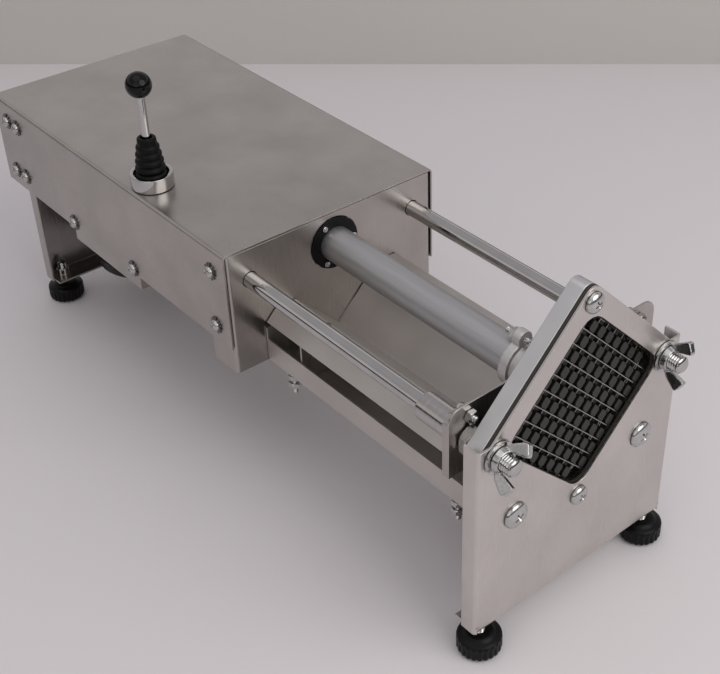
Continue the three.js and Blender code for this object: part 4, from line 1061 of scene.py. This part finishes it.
class FRYCUTTER_OT_pusher(bpy.types.Operator):
    """Adds the pusher plate, finger block, bushings, cast flange and push tube"""

    bl_idname = "frycutter.pusher"
    bl_label = "Pusher"

    def execute(self, context):
        fit_piece(copied("pusher_plate_sheet", "pusher_plate"), UPRIGHT, "pusher_plate")
        fit_piece(self.finger_block(), "moulded polyethylene", "finger_block")
        for name, sign in SIDES:
            place = (sign * ROD_Y, PLATE_BOLT_Z)
            node = f"bushing_{name}"
            fit_piece(copied(f"{node}_turned", node, edge=0.3), "turned stainless", node)
            bolt_node = f"plate_bolt_{name}"
            start = PLATE_BOLT_HEAD[-1][1]
            bolt = self.bolt(f"{bolt_node}_threaded", *place, start, PLATE_BOLT_END_X, PLATE_BOLT_HEAD)
            fit_piece(bolt, ZINC, bolt_node)
            nut = hex_nut(f"{bolt_node}_nut", NUT_FLATS, BOLT_RADIUS, "x", *PLATE_NUT_X, *place)
            fit_piece(nut, ZINC, bolt_node, hide=False)
        self.flange()
        back, front = TUBE_X
        tube = [(TUBE_BORE, back), (TUBE_RADIUS, back), (TUBE_RADIUS, front), (TUBE_BORE, front),
                (TUBE_BORE, back)]
        fit_piece(turned("push_tube_drawn", tube, "x", 0, AXIS_Z, WIDE_STEPS), SATIN, "push_tube")
        finish_node("drive_nut", BRONZE)
        return {"FINISHED"}

    def finger_block(self):
        """Makes the block's base, a rounded square on its corner, with a chamfered finger for each chip."""
        verts = []
        faces = []
        back, front = BLOCK_X
        add_prism(verts, faces, (0, 0), diamond(BLOCK_HALF, BLOCK_CORNER), [
            (back, BLOCK_EDGE_SHARES[0]), (back + BLOCK_EDGES[0], 1), (front - BLOCK_EDGES[1], 1),
            (front, BLOCK_EDGE_SHARES[1])])
        outline = FINGER_OUTLINE + tuple((-y, -z) for y, z in FINGER_OUTLINE)
        rows = [(front - FINGER_ROOT, 1), (FINGER_FRONT_X - FINGER_EDGE, 1),
                (FINGER_FRONT_X, FINGER_TIP_SHARE)]
        last = CHIPS_ACROSS // 2
        for i in range(-last, last + 1):
            for j in range(-last, last + 1):
                # The grid's rounded corners leave no cell there
                if abs(i) == last and abs(j) == last:
                    continue
                add_prism(verts, faces, turned_place(i * CHIP, j * CHIP - FINGER_SAG), outline, rows)
        return add_piece("finger_block_moulded", verts, faces, PRISM_ANGLE)

    def bolt(self, name, a, b, start, end, head=()):
        """Makes a small threaded bolt along the machine. The head's profile goes before its thread."""
        ring_step = 0.17
        first = start + BOLT_EDGE
        length = end - start - 2 * BOLT_EDGE
        steps = round((end - start) / ring_step)
        profile = list(head) or [(0, start), (BOLT_RADIUS - BOLT_EDGE, start)]
        profile += [(BOLT_RADIUS, first + length * i / steps) for i in range(steps + 1)]
        profile += [(BOLT_RADIUS - BOLT_EDGE, end), (0, end)]
        form = thread_form(BOLT_THREAD_DEPTH, BOLT_PITCH, first, end - BOLT_EDGE)
        return turned(name, profile, "x", a, b, THREAD_STEPS, form, THREAD_ANGLE)

    def flange(self):
        """Adds the cast flange with its two lugs, and its bolts and nuts."""
        front = PLATE_BACK_X - SEAT
        face = FLANGE_X + FLANGE_THICKNESS
        floor = FLANGE_X + SOCKET_DEPTH
        disc = [(SOCKET_RADIUS, FLANGE_X), (FLANGE_RADIUS, FLANGE_X), (FLANGE_RADIUS, face),
                (FLANGE_NOSE_RADIUS, face), (FLANGE_NOSE_RADIUS, front), (0, front), (0, floor),
                (SOCKET_RADIUS, floor), (SOCKET_RADIUS, FLANGE_X)]
        lug = [(0, FLANGE_X), (LUG_RADIUS, FLANGE_X), (LUG_RADIUS, face), (0, face)]
        mouth = FLANGE_X - SOCKET_OVERRUN
        socket = [(0, mouth), (SOCKET_RADIUS, mouth), (SOCKET_RADIUS, floor), (0, floor)]
        heights = [AXIS_Z + sign * FLANGE_BOLT_REACH for _, sign in SIDES]
        parts = [turned("flange_disc", disc, "x", 0, AXIS_Z, WIDE_STEPS)]
        parts += [turned("flange_lug", lug, "x", 0, z, SMALL_STEPS) for z in heights]
        body = fused("tube_flange_cast", parts, voxel=0.5, smoothing=4)
        cut_out(body, turned("flange_socket", socket, "x", 0, AXIS_Z, WIDE_STEPS))
        body.data.shade_smooth()
        body.data.set_sharp_from_angle(angle=math.radians(CAST_ANGLE))
        fit_piece(body, CAST, "tube_flange")
        for i, z in enumerate(heights):
            bolt = self.bolt(f"flange_bolt_{i}", 0, z, FLANGE_X - FLANGE_BOLT_BACK, FLANGE_BOLT_END_X)
            fit_piece(bolt, ZINC, "tube_flange", hide=False)
            nut = hex_nut(f"flange_nut_{i}", NUT_FLATS, BOLT_RADIUS, "x", FLANGE_X - NUT_HEIGHT, FLANGE_X,
                          0, z)
            fit_piece(nut, ZINC, "tube_flange", hide=False)


class FRYCUTTER_OT_trough(bpy.types.Operator):
    """Adds the trough, its rails and the saddles with their bolts"""

    bl_idname = "frycutter.trough"
    bl_label = "Trough"

    def execute(self, context):
        # The trough and rails take the paler tint of painted light
        fit_piece(copied("trough_sheet", "trough", edge=0.2), DULL_PAINTED_LIGHT, "trough")
        for name, _ in SIDES:
            node = f"rail_{name}"
            fit_piece(copied(f"{node}_sheet", node, edge=0.2), DULL_PAINTED_LIGHT, node)
        for end, x in SADDLE_BOLTS:
            node = f"saddle_{end}"
            # The CAD bolts below the saddle's floor are left out, and threaded ones take their place
            sheet = copied(f"{node}_sheet", node, edge=0.15, floor=SADDLE_FLOOR - SADDLE_NUT_DROP)
            fit_piece(sheet, UPRIGHT, node)
            for name, sign in SIDES:
                self.saddle_bolt(node, name, (x - SADDLE_BOLT_BACK, sign * SADDLE_BOLT_Y))
        ledge = domed_screw("ledge_screw", "z", *LEDGE_SCREW, radius=2.4, dome=1.4)
        fit_piece(ledge, ZINC, "trough", hide=False)
        return {"FINISHED"}

    def saddle_bolt(self, node, name, place):
        """Adds a threaded bolt that hangs below a saddle, with its nut and lock nut."""
        tip = 0.4
        low = SADDLE_FLOOR - SADDLE_BOLT_DROP
        high = SADDLE_FLOOR + SADDLE_BOLT_RISE
        profile = threaded_profile(BOLT_RADIUS, low - tip, low, high, BOLT_PITCH, 0.0)
        form = thread_form(BOLT_THREAD_DEPTH, BOLT_PITCH, low, high)
        bolt = turned(f"{node}_bolt_{name}", profile, "z", *place, THREAD_STEPS, form, THREAD_ANGLE)
        fit_piece(bolt, ZINC, node, hide=False)
        for part, drop in (("nut", SADDLE_NUT_DROP), ("lock_nut", LOCK_NUT_DROP)):
            top = SADDLE_FLOOR - drop
            nut = hex_nut(f"{node}_{part}_{name}", NUT_FLATS, BOLT_RADIUS, "z", top - NUT_HEIGHT, top, *place)
            fit_piece(nut, ZINC, node, hide=False)


class FRYCUTTER_OT_housing(bpy.types.Operator):
    """Adds the bulkhead, cover, rear legs, rear cover, tray and inlet"""

    bl_idname = "frycutter.housing"
    bl_label = "Housing"

    def execute(self, context):
        fit_piece(copied("bulkhead_sheet", "bulkhead"), UPRIGHT, "bulkhead")
        fit_piece(copied("housing_cover_sheet", "housing_cover", edge=0.12), ALONG, "housing_cover")
        fit_piece(copied("rear_leg_sheet", "rear_leg_panel"), UPRIGHT, "rear_leg_panel")
        fit_piece(copied("rear_cover_sheet", "rear_cover"), UPRIGHT, "rear_cover")
        fit_piece(copied("tray_sheet", "electronics_tray"), ALONG, "electronics_tray")
        fit_piece(copied("inlet_moulded", "power_inlet", edge=0.4), NYLON, "power_inlet")
        for i, (dy, dz) in enumerate(INLET_PINS):
            pin = self.blade_pin(f"inlet_pin_{i}", INLET[0] + dy, INLET[1] + dz)
            fit_piece(pin, ZINC, "power_inlet", hide=False)
        self.side_screws()
        return {"FINISHED"}

    def blade_pin(self, name, y, z):
        """Makes a flat pin of the inlet, with softened edges."""
        corners = ((0, -1), (1, -1), (1, 1), (0, 1))
        verts = [(PIN_X[end] * MM, (y + side * PIN_HALF[0]) * MM, (z + rise * PIN_HALF[1]) * MM)
                 for rise in (-1, 1) for end, side in corners]
        piece = add_piece(name, verts, BOX_FACES)
        bevel = piece.modifiers.new("edge", "BEVEL")
        bevel.width = PIN_EDGE * MM
        bevel.segments = 2
        apply_modifiers(piece)
        return piece

    def side_screws(self):
        """Adds the toothed washers and screws that hold the cover's sides."""
        tooth_foot = 4

        def toothed(angle, radius, along):
            return radius - STAR_TOOTH if radius > tooth_foot and math.cos(STAR_TEETH * angle) < 0 else radius

        for name, sign in SIDES:
            face = sign * (COVER_HALF_WIDTH + REST_GAP)
            back = face + sign * STAR_THICKNESS
            ring = [(STAR_BORE, face), (STAR_RADIUS, face), (STAR_RADIUS, back), (STAR_BORE, back),
                    (STAR_BORE, face)]
            for i, place in enumerate(SIDE_SCREWS):
                star = turned(f"cover_washer_{name}_{i}", ring, "y", *place, 8 * STAR_TEETH, toothed)
                fit_piece(star, "blackened spring steel", "housing_cover", hide=False)
                screw = domed_screw(f"cover_screw_{name}_{i}", "y", *place, back + sign * REST_GAP,
                                    SIDE_SCREW_RADIUS, SIDE_SCREW_DOME, sign)
                fit_piece(screw, ZINC, "housing_cover", hide=False)


class FRYCUTTER_OT_drive(bpy.types.Operator):
    """Adds the black ring, the motor's can and the finishes of the drive inside the housing"""

    bl_idname = "frycutter.drive"
    bl_label = "Drive"

    def execute(self, context):
        back, front = RING_X
        ring = [(SOCKET_RADIUS, back), (RING_RADIUS, back), (RING_RADIUS, front), (SOCKET_RADIUS, front)]
        ring = soften(ring, RING_EDGE)
        cap = turned("drive_end_cap_moulded", ring + [ring[0]], "x", 0, AXIS_Z, WIDE_STEPS)
        fit_piece(cap, NYLON, "drive_end_cap")
        for i in range(RING_SCREWS):
            angle = i * math.pi * 2 / RING_SCREWS
            y = RING_SCREW_REACH * math.cos(angle)
            z = AXIS_Z + RING_SCREW_REACH * math.sin(angle)
            screw = domed_screw(f"ring_screw_{i}", "x", y, z, front, radius=1.9, dome=1.0)
            fit_piece(screw, ZINC, "drive_end_cap", hide=False)
        can = turned("motor_can_enamelled", soften(CAN_OUTLINE, 0.5), "z", *MOTOR, WIDE_STEPS)
        fit_piece(can, "sprayed enamel", "motor_can")
        for node in ("drive_tube", "gearbox_case", "gearbox_lid", "screw_bearing_front", "screw_bearing_rear",
                     "lead_screw", "worm_wheel", "worm_shaft", "power_supply", "switch_body"):
            finish_node(node, INNER_FINISHES[SLOT_OF[node]])
        return {"FINISHED"}


class FRYCUTTER_OT_joystick(bpy.types.Operator):
    """Adds the collar, ribbed boot, lever and ball of the switch"""

    bl_idname = "frycutter.joystick"
    bl_label = "Joystick"

    def execute(self, context):
        base = COVER_TOP + SEAT
        top = base + COLLAR_HEIGHT
        collar = [(COLLAR_BORE, base), (COLLAR_RADIUS, base), (COLLAR_RADIUS, top), (COLLAR_BORE, top),
                  (COLLAR_BORE, base)]
        collar = turned("lever_collar_turned", close_soft(collar, COLLAR_EDGE), "z", *LEVER, WIDE_STEPS)
        fit_piece(collar, CHROMED, "lever_collar")
        self.boot(context.scene.fry_cutter_sizes.boot_ribs)
        fit_piece(self.stem(), CHROMED, "lever_stem")
        fit_piece(self.ball(), "polished phenolic", "lever_ball")
        return {"FINISHED"}

    def boot(self, ribs):
        """Adds the ribbed boot, which narrows upwards."""
        bottom = COVER_TOP + SEAT * 2
        pitch = (BOOT_TOP - bottom) / (ribs + 1)
        outer = [(BOOT_FOOT_RADIUS, bottom)]
        for i in range(ribs):
            radius = RIB_RADIUS - RIB_TAPER * (i / (ribs - 1)) ** RIB_TAPER_POWER
            outer += [(radius, bottom + pitch * (i + share)) for share in RIB_SHARES]
            outer += [(radius - GROOVE_DEPTH, bottom + pitch * (i + share)) for share in GROOVE_SHARES]
        outer += [(BOOT_NECK[0], bottom + pitch * (ribs + NECK_SHARE)), (BOOT_NECK[1], BOOT_TOP - NECK_EDGE)]
        outer += [(BOOT_LIP, BOOT_TOP), (BOOT_BORE, BOOT_TOP)]
        profile = soften([(BOOT_BORE, bottom)] + outer, BOOT_CORNER)
        boot = turned("lever_boot_moulded", profile + [profile[0]], "z", *LEVER, smooth_angle=BOOT_ANGLE)
        boot.data.materials.append(material("moulded rubber"))
        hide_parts("lever_boot")
        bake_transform(boot)

    def stem(self):
        """Makes the lever's stem, with a small ball where it pivots."""
        steps = 8
        stem = [(0, STEM_Z[0]), (LEVER_RADIUS, STEM_Z[0]), (LEVER_RADIUS, PIVOT_STRAIGHT[0])]
        for i in range(1, steps):
            angle = math.pi * (i / steps - 0.5)
            radius = max(LEVER_RADIUS, PIVOT_RADIUS * math.cos(angle))
            stem.append((radius, PIVOT_Z + PIVOT_RADIUS * math.sin(angle)))
        stem += [(LEVER_RADIUS, PIVOT_STRAIGHT[1]), (LEVER_RADIUS, STEM_Z[1]), (0, STEM_Z[1])]
        return turned("lever_stem_turned", stem, "z", *LEVER, SMALL_STEPS)

    def ball(self):
        """Makes the ball, with the short bore that takes the stem."""
        steps = 40
        first_step = 3
        bore_end = BALL_Z - BALL_BORE_END
        ball = [(0, bore_end), (BALL_BORE, bore_end), (BALL_BORE, BALL_Z - BALL_MOUTH)]
        # The lowest steps are left out, where the stem enters
        for i in range(first_step, steps):
            angle = math.pi * (i / steps - 0.5)
            ball.append((BALL_RADIUS * math.cos(angle), BALL_Z + BALL_RADIUS * math.sin(angle)))
        ball.append((0, BALL_Z + BALL_RADIUS))
        return turned("lever_ball_polished", ball, "z", *LEVER)


class FRYCUTTER_OT_feet(bpy.types.Operator):
    """Adds the four levelling feet"""

    bl_idname = "frycutter.feet"
    bl_label = "Feet"

    def execute(self, context):
        sizes = context.scene.fry_cutter_sizes
        flutes = sizes.foot_flutes
        depth = sizes.flute_depth / MM

        def fluted(angle, radius, along):
            outer = max(0.0, min(1.0, (radius - KNOB_RADIUS + FLUTE_REACH) / FLUTE_FADE,
                                 (FLUTE_TOP - along) / FLUTE_FADE))
            wave = 0.5 + 0.5 * math.cos(flutes * angle)
            return radius - depth * outer * wave ** 2

        rings = [(KNOB_RADIUS, FLUTE_START + i * FLUTE_STEP) for i in range(FLUTE_RINGS)]
        profile = KNOB_FOOT + rings + KNOB_TOP
        shank = threaded_profile(STUD_RADIUS, STUD_FOOT, *STUD_THREAD, STUD_PITCH, STUD_CHAMFER)
        form = thread_form(STUD_THREAD_DEPTH, STUD_PITCH, *STUD_THREAD)
        for end, x, foot_y in FEET:
            for name, sign in SIDES:
                foot = f"{end}_{name}"
                place = (x, sign * foot_y)
                knob = turned(f"foot_{foot}_moulded", profile, "z", *place, KNOB_STEPS, fluted, KNOB_ANGLE)
                fit_piece(knob, NYLON, f"foot_knob_{foot}")
                stud = turned(f"foot_{foot}_stud", shank, "z", *place, THREAD_STEPS, form, THREAD_ANGLE)
                fit_piece(stud, ZINC, f"foot_stud_{foot}")
                nut = hex_nut(f"foot_{foot}_nut", STUD_NUT_FLATS, STUD_RADIUS, "z", *STUD_NUT_Z, *place,
                              math.pi / 6)
                fit_piece(nut, ZINC, f"foot_stud_{foot}", hide=False)
        return {"FINISHED"}


OPERATORS = (FRYCUTTER_OT_stage, FRYCUTTER_OT_head, FRYCUTTER_OT_guide_rods, FRYCUTTER_OT_pusher,
             FRYCUTTER_OT_trough, FRYCUTTER_OT_housing, FRYCUTTER_OT_drive, FRYCUTTER_OT_joystick,
             FRYCUTTER_OT_feet)


class FRYCUTTER_PT_panel(bpy.types.Panel):
    """Lists the sizes, the stage and the pieces"""

    bl_idname = "FRYCUTTER_PT_panel"
    bl_label = "French Fry Cutter"
    bl_space_type = "VIEW_3D"
    bl_region_type = "UI"
    bl_category = "Fry Cutter"

    def draw(self, context):
        layout = self.layout
        for group in (context.scene.fry_cutter_sizes, context.scene.fry_cutter_stage):
            column = layout.column(align=True)
            for key in group.__annotations__:
                column.prop(group, key)
        column = layout.column(align=True)
        for operator in OPERATORS:
            column.operator(operator.bl_idname)


CLASSES = (FryCutterSizes, FryCutterStage) + OPERATORS + (FRYCUTTER_PT_panel,)


def register():
    for cls in CLASSES:
        bpy.utils.register_class(cls)
    bpy.types.Scene.fry_cutter_sizes = bpy.props.PointerProperty(type=FryCutterSizes)
    bpy.types.Scene.fry_cutter_stage = bpy.props.PointerProperty(type=FryCutterStage)


def unregister():
    del bpy.types.Scene.fry_cutter_stage
    del bpy.types.Scene.fry_cutter_sizes
    for cls in reversed(CLASSES):
        bpy.utils.unregister_class(cls)


def main():
    """Builds the stage and every piece."""
    register()
    bpy.ops.frycutter.stage()
    bpy.ops.frycutter.head()
    bpy.ops.frycutter.guide_rods()
    bpy.ops.frycutter.pusher()
    bpy.ops.frycutter.trough()
    bpy.ops.frycutter.housing()
    bpy.ops.frycutter.drive()
    bpy.ops.frycutter.joystick()
    bpy.ops.frycutter.feet()


if __name__ == "__main__":
    main()
